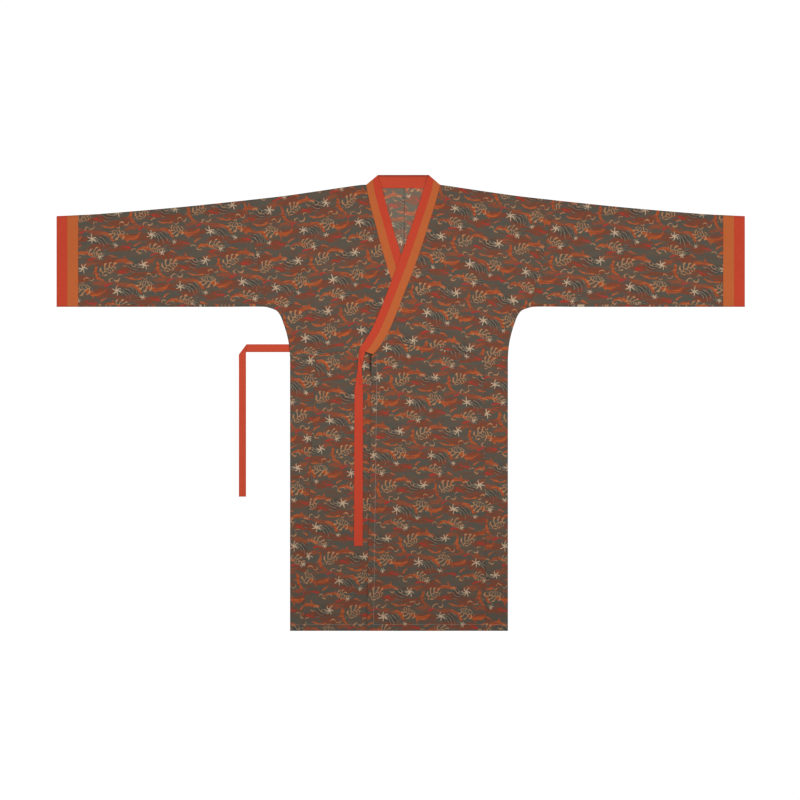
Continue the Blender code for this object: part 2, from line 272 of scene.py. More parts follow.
def is_inside(points: Array, outline: Array) -> Array:
    """Whether each point is inside an outline.

    Args:
        points: The points, one a row.
        outline: Its corners in order.

    Returns:
        True for each point inside.
    """
    x, y = points[:, 0], points[:, 1]
    inside = np.zeros(len(points), bool)
    for (x0, y0), (x1, y1) in zip(outline, np.roll(outline, -1, axis=0)):
        if y0 != y1:
            crosses = ((y0 > y) != (y1 > y)) & (x < x0 + (y - y0) / (y1 - y0) * (x1 - x0))
            inside ^= crosses
    return inside


def outline_area(outline: Array) -> float:
    """Area of an outline, positive when it runs anticlockwise."""
    after = np.roll(outline, -1, axis=0)
    return float((outline[:, 0] * after[:, 1] - after[:, 0] * outline[:, 1]).sum() / 2.0)


def mitres(outline: Array) -> Array:
    """Inward mitre of each corner of an anticlockwise outline, for a unit inset.

    Args:
        outline: Its corners.

    Returns:
        One vector for each corner.
    """
    before = outline - np.roll(outline, 1, axis=0)
    after = np.roll(outline, -1, axis=0) - outline
    normals = []
    for run in (before, after):
        run = run / np.linalg.norm(run, axis=1)[:, None]
        normals.append(np.stack([-run[:, 1], run[:, 0]], axis=1))
    opened = np.maximum(1.0 + np.einsum("ij,ij->i", *normals), 0.08)
    return (normals[0] + normals[1]) / opened[:, None]


def beside(x: Array, y: Array, line: Line | tuple[Point, ...], width: float) -> Array:
    """1 on a line, falling to 0 at a distance from it."""
    corners = np.array(line, float)
    away = distance_to(np.column_stack([np.ravel(x), np.ravel(y)]), corners[:-1], corners[1:])
    return 1.0 - ease(away / width)


def put_in_scene(name: str, data: bpy.types.ID) -> Piece:
    """An object for a mesh, lamp or camera, linked to the scene's collection."""
    made = bpy.data.objects.new(name, data)
    bpy.context.scene.collection.objects.link(made)
    return made


def smoothed(mesh: bpy.types.Mesh) -> bpy.types.Mesh:
    """The mesh, with all its faces shaded smooth."""
    mesh.polygons.foreach_set("use_smooth", [True] * len(mesh.polygons))
    return mesh


def marked_mesh(name: str, places: Array, faces: list, wrong: Array, shade: Array
                ) -> tuple[bpy.types.Mesh, Array]:
    """A piece's mesh, with its wrong side and its seam shade marked.

    Args:
        name: The piece's name.
        places: Its points, in mm.
        faces: Its faces, by point.
        wrong: 1 for each face on the cloth's wrong side.
        shade: Seam shade of each point.

    Returns:
        The mesh, and the point at each of its faces' corners.
    """
    mesh = bpy.data.meshes.new(name)
    mesh.from_pydata((places * MM).tolist(), [], faces)
    for label, domain, values in (("wrong_side", "FACE", wrong), ("seam_shade", "POINT", shade)):
        mesh.attributes.new(label, "FLOAT", domain).data.foreach_set("value", values)
    used = np.zeros(len(mesh.loops), int)
    mesh.loops.foreach_get("vertex_index", used)
    return smoothed(mesh), used


def cloth_piece(name: str, mesh: bpy.types.Mesh, uv: Array) -> Piece:
    """The object of a piece's mesh, with its UV map laid on."""
    mesh.uv_layers.new(name="cloth").data.foreach_set("uv", uv.ravel())
    mesh.validate()
    return put_in_scene(f"{name}_cloth", mesh)


# --- Pattern draft: the seam lines that the pieces share ---


@dataclass(frozen=True)
class Draft:
    """The robe's pattern draft, as laid out flat."""

    over: Side = Side.LEFT

    def top_y(self, x: Array | float) -> Array:
        """Height of the shoulder and sleeve top line at x."""
        return np.interp(np.abs(x), *zip(*TOP_LINE))

    def body_edge(self, side: Side) -> float:
        """X of the body's edge."""
        return BODY_X + side.value * BODY_HALF

    def waist_y(self, side: Side, x: float) -> float:
        """Height of a front waist seam at x."""
        return WAIST_Y + WAIST_RISE * abs(self.body_edge(side) - x)

    def collar_edge(self, side: Side, column: str) -> Line:
        """One edge of a collar band, from the shoulder fold down.

        Args:
            side: The wearer's side.
            column: inner, seam or outer.

        Returns:
            Its points.
        """
        lean = 0.0 if side is self.over else UNDER_LEAN
        return [(NECK_X + side.value * x + lean * (y - UNDER_LEAN_Y), y)
                for x, y in COLLAR[column]]

    def cut_above(self, points: Line, side: Side) -> tuple[Line, Line]:
        """Split a falling edge where it crosses the front waist seam.

        Args:
            points: The edge, from its top.
            side: The wearer's side.

        Returns:
            The parts above and below it.
        """
        for i, (a, b) in enumerate(zip(points, points[1:])):
            over_a = a[1] - self.waist_y(side, a[0])
            over_b = b[1] - self.waist_y(side, b[0])
            if over_a > 0.0 >= over_b:
                t = over_a / (over_a - over_b)
                cross = (blend(a[0], b[0], t), blend(a[1], b[1], t))
                return points[:i + 1] + [cross], [cross] + points[i + 1:]
        return points, []

    def collar_end(self) -> Line:
        """The far end of the over collar's orange strip."""
        return [self.collar_edge(self.over, column)[-1] for column in ("seam", "outer")]

    def underarm(self, side: Side) -> Line:
        """The underarm curve, from the sleeve seam down to the waist."""
        return [(self.body_edge(side) + side.value * out, y) for out, y in UNDERARM]

    def side_edge(self, side: Side, top: float, foot: float) -> Line:
        """The body's side, with the underarm curve above it, between two heights."""
        x, y = sampled(self.underarm(side), 5.0)[::-1].T
        return [(float(np.interp(at, y, x)), float(at)) for at in np.linspace(top, foot, 6)]

    def top_stretch(self, side: Side, near: float, far: float) -> Line:
        """The top line between two distances from the middle."""
        inner = [d for d, _ in TOP_LINE if near < d < far]
        return [(side.value * d, float(self.top_y(d))) for d in [near] + inner + [far]]

    def neck_edge(self, column: str, flat_y: float, half: float) -> Line:
        """An edge of the back neck band: shoulder corner, level stretch, shoulder corner."""
        right = self.collar_edge(Side.RIGHT, column)[0]
        left = self.collar_edge(Side.LEFT, column)[0]
        return [right, (NECK_X - half, flat_y), (NECK_X + half, flat_y), left]

    def down_skirt(self, ends: Point, y: Array) -> Array:
        """X at height y on a line from the free edge's top to the hem."""
        return blend(*ends, (FREE_EDGE_Y - y) / (FREE_EDGE_Y - HEM_Y))

    def facing_x(self, y: Array) -> Array:
        """X of the overlap's stitch line at height y."""
        return self.down_skirt(FACING_EDGE, y)

    def over_edge_x(self, y: Array) -> Array:
        """X of the over front's visible inner edge, collar included, at height y."""
        xs, ys = zip(*self.collar_edge(self.over, "inner")[::-1])
        return np.where(y > ys[0], np.interp(y, ys, xs), self.down_skirt(OVER_EDGE, y))

    def under_edge_x(self, y: Array) -> Array:
        """X of the hidden edge that the over layers pass at height y."""
        xs, ys = zip(*self.collar_edge(Side.RIGHT, "inner")[::-1])
        below = blend(xs[0], self.down_skirt(UNDER_EDGE, y), ease((ys[0] - y) / UNDER_EDGE_RUN))
        return np.where(y >= ys[0], np.interp(y, ys, xs), below)

    def over_floor(self, x: Array, y: Array) -> Array:
        """Underside of the over front and its collar.

        Args:
            x: The points' x.
            y: The points' y.

        Returns:
            Its height at each point.
        """
        past = x - self.under_edge_x(y)
        band_width = COLLAR["outer"][3][0] - COLLAR["inner"][3][0]
        collar_end = self.collar_edge(Side.RIGHT, "outer")[-1][1]
        on_under = resting(-past)
        on_band = on_under * resting(past + band_width) * resting(y - collar_end)
        height = blend(FRONT_FLOOR, OVER_FLOOR, on_under) + (CROSS_FLOOR - OVER_FLOOR) * on_band
        return np.maximum(height, self.neck_floor(x, y))

    def neck_floor(self, x: Array, y: Array) -> Array:
        """Underside of the front bands where they lie on the back neck band."""
        return blend(FRONT_FLOOR, OVER_FLOOR, resting(y - BACK_BAND_FOOT[0])) + 0.0 * x

    def tie_drop_floor(self, x: Array, y: Array) -> Array:
        """Underside of the side tie's lower run, which starts on the fold."""
        return (BAND + GAP) * resting(y - SIDE_TIE_FOOT) + 0.0 * x


DRAFT = Draft()


def level(height: float) -> Height:
    """A floor at one height."""
    return lambda x, y: height + 0.0 * x


def nothing(x: Array, y: Array) -> Array:
    """No change of height or shade."""
    return 0.0 * x + 0.0 * y


class Crease(NamedTuple):
    """A soft ridge in the cloth, from a start to an end, with its width and height."""

    start: Point
    end: Point
    width: float
    height: float


@dataclass(frozen=True)
class Ease:
    """The looseness of a laid-out piece: broad low waves and a few soft creases."""

    waves: float = 0.25
    turn: float = 0.0
    creases: tuple[Crease, ...] = ()
    keep: Height | None = None

    def __call__(self, x: Array, y: Array) -> Array:
        """How far the cloth stands off its floor, in mm, never below it.

        Args:
            x: The points' x.
            y: The points' y.

        Returns:
            One height for each point.
        """
        c, s = math.cos(self.turn), math.sin(self.turn)
        u, v = c * x - s * y, s * x + c * y
        total = self.waves * 0.25 * (2.0 + np.sin(u / 31.0 + 1.3 * np.sin(v / 83.0))
                                     + np.sin(v / 47.0 + u / 129.0 + self.turn))
        for crease in self.creases:
            a, b = np.array(crease.start), np.array(crease.end)
            run = b - a
            t = ((x - a[0]) * run[0] + (y - a[1]) * run[1]) / (run @ run)
            off = ((x - a[0]) * run[1] - (y - a[1]) * run[0]) / math.hypot(*run)
            fade = ease(np.clip(t, 0, 1) * 4.0) * ease((1.0 - np.clip(t, 0, 1)) * 2.5)
            total = total + crease.height * fade * np.exp(-(off / crease.width) ** 2)
        return total * self.keep(x, y) if self.keep else total


# --- Shells ---


GUIDE_OFFSET = 1.3  # a guide line has a row of points this far on both sides
GUIDE_CLEAR = 0.45  # the even grid's distance from them, in its own steps
RIM_CLEAR = 0.93  # share of its inset that a rim row keeps where edges turn


class Edge(NamedTuple):
    """One edge of a piece, in order round its outline."""

    line: Line
    kind: EdgeKind
    curved: bool = True


def straight(corners: Line, *kinds: EdgeKind) -> list[Edge]:
    """Straight edges round some corners, as many as there are kinds."""
    return [Edge([a, b], kind) for a, b, kind in zip(corners, corners[1:] + corners[:1], kinds)]


def strip_edges(first: Line, second: Line, kinds: tuple[EdgeKind, ...],
                curved: bool = True) -> list[Edge]:
    """Edges of a strip between two lines: the first, its end, the second and its start."""
    return [Edge(first, kinds[0], curved), Edge([first[-1], second[-1]], kinds[1]),
            Edge(second[::-1], kinds[2], curved), Edge([second[0], first[0]], kinds[3])]


@dataclass(frozen=True)
class Grain:
    """How the print lies on a piece: its turn in degrees and where its repeat starts."""

    turn: float = 0.0
    start: Point = (0.0, 0.0)

    def __call__(self, x: Array, y: Array) -> Array:
        """UV of plan points, in metres along and across the grain."""
        angle = math.radians(self.turn)
        c, s = math.cos(angle), math.sin(angle)
        u, v = x * c + y * s + self.start[0], y * c - x * s + self.start[1]
        return np.stack([u, v], axis=1) * MM


@dataclass
class Panel:
    """A flat-cut piece of cloth, as a closed shell that follows what it lies on."""

    name: str
    edges: list[Edge]
    under: Height
    wall: float = CLOTH_WALL
    spacing: float = 6.0
    grain: Grain = Grain()
    wrong: Face = Face.NONE
    loose: Height = nothing
    lift: Height = nothing
    shade: Height = nothing
    guides: list[Line] = field(default_factory=list)
    rim: tuple[float, ...] = (0.35, 1.2, 3.0)
    rim_step: float = 5.0

    def outline(self) -> tuple[Array, list[EdgeKind]]:
        """The outline's points, anticlockwise, and the kind of the edge after each.

        Returns:
            The points and the kinds.
        """
        points, kinds = [], []
        for edge in self.edges:
            samples = sampled(edge.line, self.rim_step, edge.curved)[:-1]
            points.append(samples)
            kinds += [edge.kind] * len(samples)
        outline = np.vstack(points)
        if outline_area(outline) < 0.0:
            outline = outline[::-1]
            kinds = kinds[::-1][1:] + kinds[-1:]
        return outline + mitres(outline) * SEAM_INSET, kinds

    def points_inside(self, outline: Array) -> Array:
        """Rows of points along the rim, guide rows, and an even grid between them.

        Args:
            outline: The panel's outline.

        Returns:
            The points in plan.
        """
        after = np.roll(outline, -1, axis=0)
        inward = mitres(outline)
        kept = []
        for inset in self.rim:
            row = outline + inward * inset
            clear = distance_to(row, outline, after) > RIM_CLEAR * inset
            kept.append(row[clear & is_inside(row, outline)])
        low, high = outline.min(0), outline.max(0)
        step = self.spacing
        grid = np.stack(np.meshgrid(np.arange(low[0] + step / 2, high[0], step),
                                    np.arange(low[1] + step / 2, high[1], step)), -1)
        grid = grid.reshape(-1, 2)
        for guide in self.guides:
            line = sampled(guide, self.rim_step, False)
            run = np.gradient(line, axis=0)
            across = np.stack([-run[:, 1], run[:, 0]], 1) / np.linalg.norm(run, axis=1)[:, None]
            for offset in (-GUIDE_OFFSET, GUIDE_OFFSET):
                row = line + across * offset
                clear = is_inside(row, outline)
                clear[clear] = distance_to(row[clear], outline, after) > self.rim[-1] + 1.0
                kept.append(row[clear])
            away = distance_to(grid, line[:-1], line[1:])
            grid = grid[away > GUIDE_OFFSET + GUIDE_CLEAR * step]
        grid = grid[is_inside(grid, outline)]
        grid = grid[distance_to(grid, outline, after) > self.rim[-1] + 0.5 * step]
        return np.vstack(kept + [grid])

    def build(self) -> Piece:
        """The shell, with its UV map, wrong side and seam shade.

        Returns:
            The finished object.
        """
        outline, kinds = self.outline()
        inner = self.points_inside(outline)
        count = len(outline)
        ring = [(i, (i + 1) % count) for i in range(count)]
        places = [Vector(p) for p in np.vstack([outline, inner]).tolist()]
        verts, _, faces, *_ = delaunay_2d_cdt(places, ring, [list(range(count))], 1, 1e-5)
        plan = np.array([tuple(v) for v in verts])
        corners = np.array([f for f in faces if len(f) == 3])
        a, b, c = (plan[corners[:, i]] for i in range(3))
        turned = np.cross(b - a, c - a) < 0.0
        corners[turned] = corners[turned][:, ::-1]
        x, y = plan.T
        after = np.roll(outline, -1, axis=0)
        roll, weight, full, shade = 0.0 * x, 0.0 * x, 1.0 + 0.0 * x, self.shade(x, y)
        for kind in set(kinds):
            chosen = np.array([k is kind for k in kinds])
            away = distance_to(plan, outline[chosen], after[chosen])
            share = 1.0 - ease(away / kind.value.reach)
            roll += share * kind.value.roll
            weight += share
            shade = np.maximum(shade, kind.value.shade * (1.0 - ease(away / kind.value.line)))
            full = np.minimum(full, blend(kind.value.thin, 1.0, np.sqrt(np.clip(
                away / self.rim[0], 0.0, 1.0))))
        roll /= np.maximum(weight, 1.0)
        middle = self.under(x, y) + self.wall / 2.0 + roll + self.loose(x, y)
        half = self.wall / 2.0 * full
        top = middle + half + self.lift(x, y) * full
        return self.closed(plan, np.maximum(middle - half, 0.0), top, corners, shade)

    def closed(self, plan: Array, low: Array, high: Array, corners: Array,
               shade: Array) -> Piece:
        """Join the two faces of the shell round its rim.

        Args:
            plan: The shell's points in plan.
            low: Height of its underside at each.
            high: Height of its upper side at each.
            corners: Its triangles, anticlockwise.
            shade: Its seam shade at each point.

        Returns:
            The finished object.
        """
        count, half = len(plan), len(corners)
        sides = np.vstack([corners[:, [0, 1]], corners[:, [1, 2]], corners[:, [2, 0]]])
        known = {(a, b) for a, b in sides.tolist()}
        rim = sorted((a, b) for a, b in known if (b, a) not in known)
        faces = corners.tolist() + (corners[:, ::-1] + count).tolist()
        faces += [[b, a, a + count, b + count] for a, b in rim]
        top, bottom = float(self.wrong is Face.TOP), float(self.wrong is Face.BOTTOM)
        mesh, used = marked_mesh(
            self.name, np.vstack([np.column_stack([plan, high]), np.column_stack([plan, low])]),
            faces, [top] * half + [bottom] * half + [0.0] * len(rim), np.tile(shade, 2))
        return cloth_piece(self.name, mesh, np.tile(self.grain(*plan.T), (2, 1))[used])

    def cut_size(self) -> tuple[tuple[float, float], float]:
        """The piece's flat cut: width and length along its grain, and its area, in metres.

        Returns:
            The two lengths, and the area.
        """
        outline, _ = self.outline()
        best = None
        for turn in range(0, 180, 3):
            angle = math.radians(turn)
            axes = np.array([[math.cos(angle), -math.sin(angle)],
                             [math.sin(angle), math.cos(angle)]])
            spread = np.ptp(outline @ axes, axis=0)
            if best is None or spread.prod() < best.prod():
                best = spread
        width, length = sorted(best * MM)
        return (round(width, 4), round(length, 4)), outline_area(outline) * MM * MM


TUBE_ENDS = np.array([0.0, 0.4, 1.4, 3.2])  # stations near a tube's end, closely spaced
INNER_CLOSE, OUTER_CLOSE = 0.16, 0.3  # its walls' rounding there, in shares of the wall
FOLD_LINE = 3.2  # width of the painted shade along its fold and its seam


@dataclass
class Tube:
    """A folded tube of cloth laid flat, such as a sleeve or a cuff band, open at both ends."""

    name: str
    head: Line
    foot: Line
    wall: float
    height: float
    along: int
    across: int
    grain_lean: float = 0.0
    start: Point = (0.0, 0.0)
    loose: Height = nothing
    end_shades: tuple[float, float] = (0.28, 0.3)
    edge_shade: float = 0.3
    line: float = 1.5  # width of the painted shade at its ends
    fold_steps: int = 6

    def lines(self) -> tuple[Array, Array]:
        """The head and foot lines at the stations along the tube, ends closely spaced.

        Returns:
            Both lines' points, one for each station.
        """
        found = []
        for line in (self.head, self.foot):
            fine = sampled(line, 1.0)
            run = np.concatenate([[0.0], np.cumsum(np.linalg.norm(np.diff(fine, axis=0), axis=1))])
            first, last = SEAM_INSET + TUBE_ENDS, run[-1] - SEAM_INSET - TUBE_ENDS[::-1]
            middle = np.linspace(first[-1], last[0], self.along + 1)[1:-1]
            places = np.concatenate([first, middle, last])
            found.append(np.stack([np.interp(places, run, fine[:, i]) for i in (0, 1)], 1))
        return found[0], found[1]

    def section(self, inner: bool) -> tuple[Array, Array, Array, Array]:
        """One loop round the tube, from the foot up its front, over the fold and down its back.

        Args:
            inner: True for the hollow's loop, False for the outer one.

        Returns:
            For each point its share of the way from head to foot, its inset, its height and how
            much of the front it belongs to.
        """
        radius = self.height / 2.0 - (self.wall if inner else 0.0)
        centre = self.height / 2.0
        share = np.linspace(1.0, 0.0, self.across + 1)[1:-1]
        bend = np.linspace(math.pi / 2, -math.pi / 2, self.fold_steps + 1)
        flat = np.ones(len(share))
        inset, rise = centre - radius * np.cos(bend), radius * np.sin(bend)
        loop = zip((share, 0 * flat, centre + radius * flat, flat),
                   (0 * bend, inset, centre + rise, ease(0.5 + np.sin(bend) / 2)),
                   (share[::-1], 0 * flat, centre - radius * flat, 0 * flat),
                   (1 + 0 * bend, -inset, centre - rise, ease(0.5 - np.sin(bend) / 2)))
        shares, insets, heights, front = (np.concatenate(part) for part in loop)
        return shares, insets, heights, front

    def build(self) -> Piece:
        """The tube, with its UV map and seam shade.

        Returns:
            The finished object.
        """
        head, foot = self.lines()
        run = (foot - head) / np.linalg.norm(foot - head, axis=1)[:, None]
        depth = np.linalg.norm(foot - head, axis=1)
        from_start = np.linalg.norm(head - head[0], axis=1)
        to_end = np.linalg.norm(head - head[-1], axis=1)
        sheets, shades = [], []
        for inner in (False, True):
            shares, insets, heights, front = self.section(inner)
            plan = (head[:, None] + (foot - head)[:, None] * shares[None, :, None]
                    + run[:, None] * insets[None, :, None])
            ends = 1.0 - np.sqrt(np.clip(np.minimum(from_start, to_end) / TUBE_ENDS[1], 0.0, 1.0))
            close = ends[:, None] * self.wall * (INNER_CLOSE if inner else -OUTER_CLOSE)
            z = heights[None, :] + close * np.sign(heights - self.height / 2.0)[None, :]
            z = z + self.loose(plan[..., 0], plan[..., 1]) * front[None, :]
            sheets.append(np.concatenate([plan, z[..., None]], axis=2))
            to_edge = np.minimum(shares[None, :] * depth[:, None],
                                 (1.0 - shares[None, :]) * depth[:, None])
            shade = self.edge_shade * (1.0 - ease(to_edge / FOLD_LINE))
            for away, value in ((from_start, self.end_shades[0]), (to_end, self.end_shades[1])):
                shade = np.maximum(shade, value * (1.0 - ease(away / self.line))[:, None])
            shades.append(shade)
        return self.closed(sheets, shades, from_start, depth)

    def closed(self, sheets: list[Array], shades: list[Array], along: Array,
               depth: Array) -> Piece:
        """Join the outer and inner loops at both ends.

        Args:
            sheets: Points of the outer and the inner loops, by station.
            shades: Their seam shades.
            along: Distance of each station from the tube's start.
            depth: Its depth from head to foot at each station.

        Returns:
            The finished object.
        """
        stations, loop = sheets[0].shape[:2]
        total = stations * loop
        i, j = np.meshgrid(np.arange(stations - 1), np.arange(loop), indexing="ij")
        after = (j + 1) % loop
        outer = np.stack([i * loop + j, (i + 1) * loop + j, (i + 1) * loop + after,
                          i * loop + after], -1).reshape(-1, 4)
        inner = outer[:, ::-1] + total
        ring = np.arange(loop)
        following = (ring + 1) % loop
        last = (stations - 1) * loop
        start = np.stack([ring, following, following + total, ring + total], 1)
        end = last + start[:, [1, 0, 3, 2]]
        faces = np.vstack([outer, inner, start, end])
        if self.mirrored:
            faces = faces[:, ::-1]
        wrong = np.concatenate([np.zeros(len(outer)), np.ones(len(inner)), np.zeros(2 * loop)])
        mesh, used = marked_mesh(
            self.name, np.vstack([sheet.reshape(-1, 3) for sheet in sheets]), faces.tolist(),
            wrong, np.concatenate([shade.ravel() for shade in shades]))
        return cloth_piece(self.name, mesh, self.lay_print(used % total, loop, along, depth))

    @property
    def mirrored(self) -> bool:
        """Whether the tube runs towards -X."""
        return self.head[-1][0] < self.head[0][0]

    def lay_print(self, used: Array, loop: int, along: Array, depth: Array) -> Array:
        """Wrap the print round the tube, over its fold, with the repeat's join at the foot.

        Args:
            used: The outer loops' point at each corner of each face.
            loop: How many points a loop has.
            along: Distance of each station from the tube's start.
            depth: Its depth from head to foot at each station.

        Returns:
            UV of each corner.
        """
        shares, _, _, _ = self.section(False)
        half = loop // 2
        signed = np.where(np.arange(loop) < half, 1.0, -1.0)
        down = shares[None, :] * depth[:, None] * signed[None, :]
        down[:, -1 - self.fold_steps:] = -depth[:, None]
        slope = self.grain_lean * (along[-1] - along) ** 2 / (2.0 * max(along[-1], 1.0))
        u = (-1.0 if self.mirrored else 1.0) * along[:, None] + 0.0 * down
        uv = np.stack([u + self.start[0], slope[:, None] - down + self.start[1]],
                      -1).reshape(-1, 2) * MM
        corner, place = uv[used], used % loop
        # A face between the last and the first point of a loop keeps one side's values.
        joins = np.repeat(np.ptp(place.reshape(-1, 4), axis=1) > half, 4) & (place == 0)
        row = used[joins] // loop
        corner[joins, 1] = (self.start[1] + slope[row] + depth[row]) * MM
        return corner

    def cut_size(self) -> tuple[tuple[float, float], float]:
        """The tube's flat cut, all round: width and length, and its area, in metres.

        Returns:
            The two lengths, and the area.
        """
        head, foot = self.lines()
        depth = np.linalg.norm(foot - head, axis=1)
        length = max(np.linalg.norm(line[-1] - line[0]) for line in (head, foot))
        round_it = 2.0 * depth.max()
        mean = (np.linalg.norm(head[-1] - head[0]) + np.linalg.norm(foot[-1] - foot[0])) / 2
        area = 2.0 * depth.mean() * mean * MM * MM
        width, long = sorted((round_it * MM, length * MM))
        return (round(width, 4), round(long, 4)), min(area, width * long)


# --- Node trees ---


class Value:
    """A node's result. Arithmetic with it adds the nodes that work it out."""

    def __init__(self, nodes: "Nodes", socket: Socket) -> None:
        """Keep the socket and the nodes that it is among."""
        self.nodes, self.socket = nodes, socket

    def then(self, operation: str, *others: "Feed") -> "Value":
        """A Math or Vector Math node on this value and others."""
        is_vector = self.socket.type in ("VECTOR", "RGBA")
        return (self.nodes.vector if is_vector else self.nodes.math)(operation, self, *others)

    __add__, __sub__ = partialmethod(then, "ADD"), partialmethod(then, "SUBTRACT")
    __mul__, __truediv__ = partialmethod(then, "MULTIPLY"), partialmethod(then, "DIVIDE")
    __abs__, length = partialmethod(then, "ABSOLUTE"), partialmethod(then, "LENGTH")

    def __rsub__(self, other: float) -> "Value":
        """A plain number less this value."""
        return self.nodes.math("SUBTRACT", other, self)

    def wrapped(self, half: float) -> "Value":
        """The value wrapped into a range about 0."""
        return self.then("WRAP", half, -half)

    def held(self) -> "Value":
        """The same value, held between 0 and 1."""
        self.socket.node.use_clamp = True
        return self

    def parts(self) -> tuple["Value", "Value"]:
        """A vector's x and y. An unused third output would use up the shader's stack."""
        return self.then("DOT_PRODUCT", (1.0, 0.0, 0.0)), self.then("DOT_PRODUCT", (0.0, 1.0, 0.0))


Feed = Value | Socket | bpy.types.Node | float | tuple


def most(values: Iterable[Value]) -> Value:
    """The greatest of some values."""
    return reduce(lambda a, b: a.then("MAXIMUM", b), values)


class Nodes:
    """Adds nodes to one tree. A value, a node's first output or a number feeds any input."""

    def __init__(self, tree: Tree) -> None:
        """Keep the tree that the nodes go in."""
        self.tree = tree

    def feed(self, socket: Socket, source: Feed) -> None:
        """Link or set an input.

        Args:
            socket: The input.
            source: What feeds it.
        """
        source = source.outputs[0] if isinstance(source, bpy.types.Node) else source
        source = source.socket if isinstance(source, Value) else source
        if isinstance(source, Socket):
            self.tree.links.new(source, socket)
        else:
            socket.default_value = source

    def add(self, kind: str, inputs: dict[str | int, Feed] | None = None,
            **settings: object) -> bpy.types.Node:
        """Add a node.

        Args:
            kind: Its type.
            inputs: What feeds its inputs, by name or number.
            settings: Its own settings.

        Returns:
            The node.
        """
        node = self.tree.nodes.new(kind)
        for key, setting in settings.items():
            setattr(node, key, setting)
        for key, source in (inputs or {}).items():
            self.feed(node.inputs[key], source)
        return node

    def value(self, kind: str, inputs: dict[str | int, Feed] | None = None,
              output: str | int = 0, **settings: object) -> Value:
        """Add a node and take one of its outputs."""
        return Value(self, self.add(kind, inputs, **settings).outputs[output])

    def math(self, operation: str, *values: Feed) -> Value:
        """A Math node's result."""
        return self.value("ShaderNodeMath", dict(enumerate(values)), operation=operation)

    def vector(self, operation: str, *values: Feed) -> Value:
        """A Vector Math node's result."""
        output = "Value" if operation in ("LENGTH", "DOT_PRODUCT") else "Vector"
        return self.value("ShaderNodeVectorMath", dict(enumerate(values)), output,
                          operation=operation)

    def joined(self, x: Feed, y: Feed, z: Feed = 0.0) -> Value:
        """A vector from its parts."""
        return self.value("ShaderNodeCombineXYZ", {0: x, 1: y, 2: z})

    def mix(self, factor: Feed, a: Feed, b: Feed, way: str = "MIX") -> Value:
        """Two colours mixed."""
        a, b = ((*v, 1.0) if isinstance(v, tuple) else v for v in (a, b))
        return self.value("ShaderNodeMix", {0: factor, 6: a, 7: b}, 2, data_type="RGBA",
                          blend_type=way)

    def noise(self, vector: Feed, scale: float, detail: float = 2.0) -> Value:
        """A noise texture's value."""
        return self.value("ShaderNodeTexNoise", {"Vector": vector, "Scale": scale,
                                                 "Detail": detail, "Roughness": 0.5})

    def group(self, tree: Tree, **inputs: Feed) -> dict[str, Value]:
        """Place a node group, fed by its input names, and take its outputs by name."""
        node = self.add("ShaderNodeGroup", inputs, node_tree=tree)
        return {socket.name: Value(self, socket) for socket in node.outputs}

    def give(self, **outputs: Feed) -> Tree:
        """Feed a group's outputs by name, and return the group's tree."""
        self.add("NodeGroupOutput", outputs)
        return self.tree

    def show(self, shader: bpy.types.Node, output: str = "ShaderNodeOutputMaterial") -> None:
        """Link a shader to the tree's output."""
        self.add(output, {"Surface": shader})

    def show_cloth(self, sockets: dict[str, Feed], height: Feed, bump: Point) -> None:
        """End a cloth's or thread's material in a matt shader.

        Args:
            sockets: What feeds the shader.
            height: The height of its bump.
            bump: The bump's strength and its distance in metres.
        """
        relief = self.add("ShaderNodeBump", {"Strength": bump[0], "Distance": bump[1],
                                             "Height": height})
        self.show(self.add("ShaderNodeBsdfPrincipled", {**sockets, "Normal": relief}))


def new_nodes(owner: bpy.types.Material | bpy.types.World) -> Nodes:
    """The nodes of a material or world, emptied."""
    owner.use_nodes = True
    owner.node_tree.nodes.clear()
    return Nodes(owner.node_tree)


def new_group(name: str, inputs: str, outputs: str) -> tuple[Nodes, list[Value]]:
    """Start a shader node group. Vector and Colour sockets are that, and others are numbers.

    Args:
        name: The group's name.
        inputs: Names of its inputs.
        outputs: Names of its outputs.

    Returns:
        Its nodes, and its inputs in order.
    """
    tree = bpy.data.node_groups.new(name, "ShaderNodeTree")
    kinds = {"Vector": "NodeSocketVector", "Colour": "NodeSocketColor"}
    for direction, labels in (("INPUT", inputs), ("OUTPUT", outputs)):
        for label in labels.split():
            tree.interface.new_socket(label, in_out=direction,
                                      socket_type=kinds.get(label, "NodeSocketFloat"))
    nodes = Nodes(tree)
    enter = nodes.add("NodeGroupInput")
    return nodes, [Value(nodes, enter.outputs[label]) for label in inputs.split()]


class Stroke(NamedTuple):
    """One brush stroke: part of a circle, thick in the middle and tapered to its ends."""

    x: float
    y: float
    radius: float
    centre: float  # degrees
    sweep: float  # half of the stroke, degrees
    width: float
    lean: float = 0.0  # 1 puts the thick end last, -1 first


class Placed(NamedTuple):
    """Where a motif stands in the repeat."""

    x: float
    y: float
    turn: float = 0.0  # degrees
    size: float = 1.0


Places = tuple[Placed, ...]


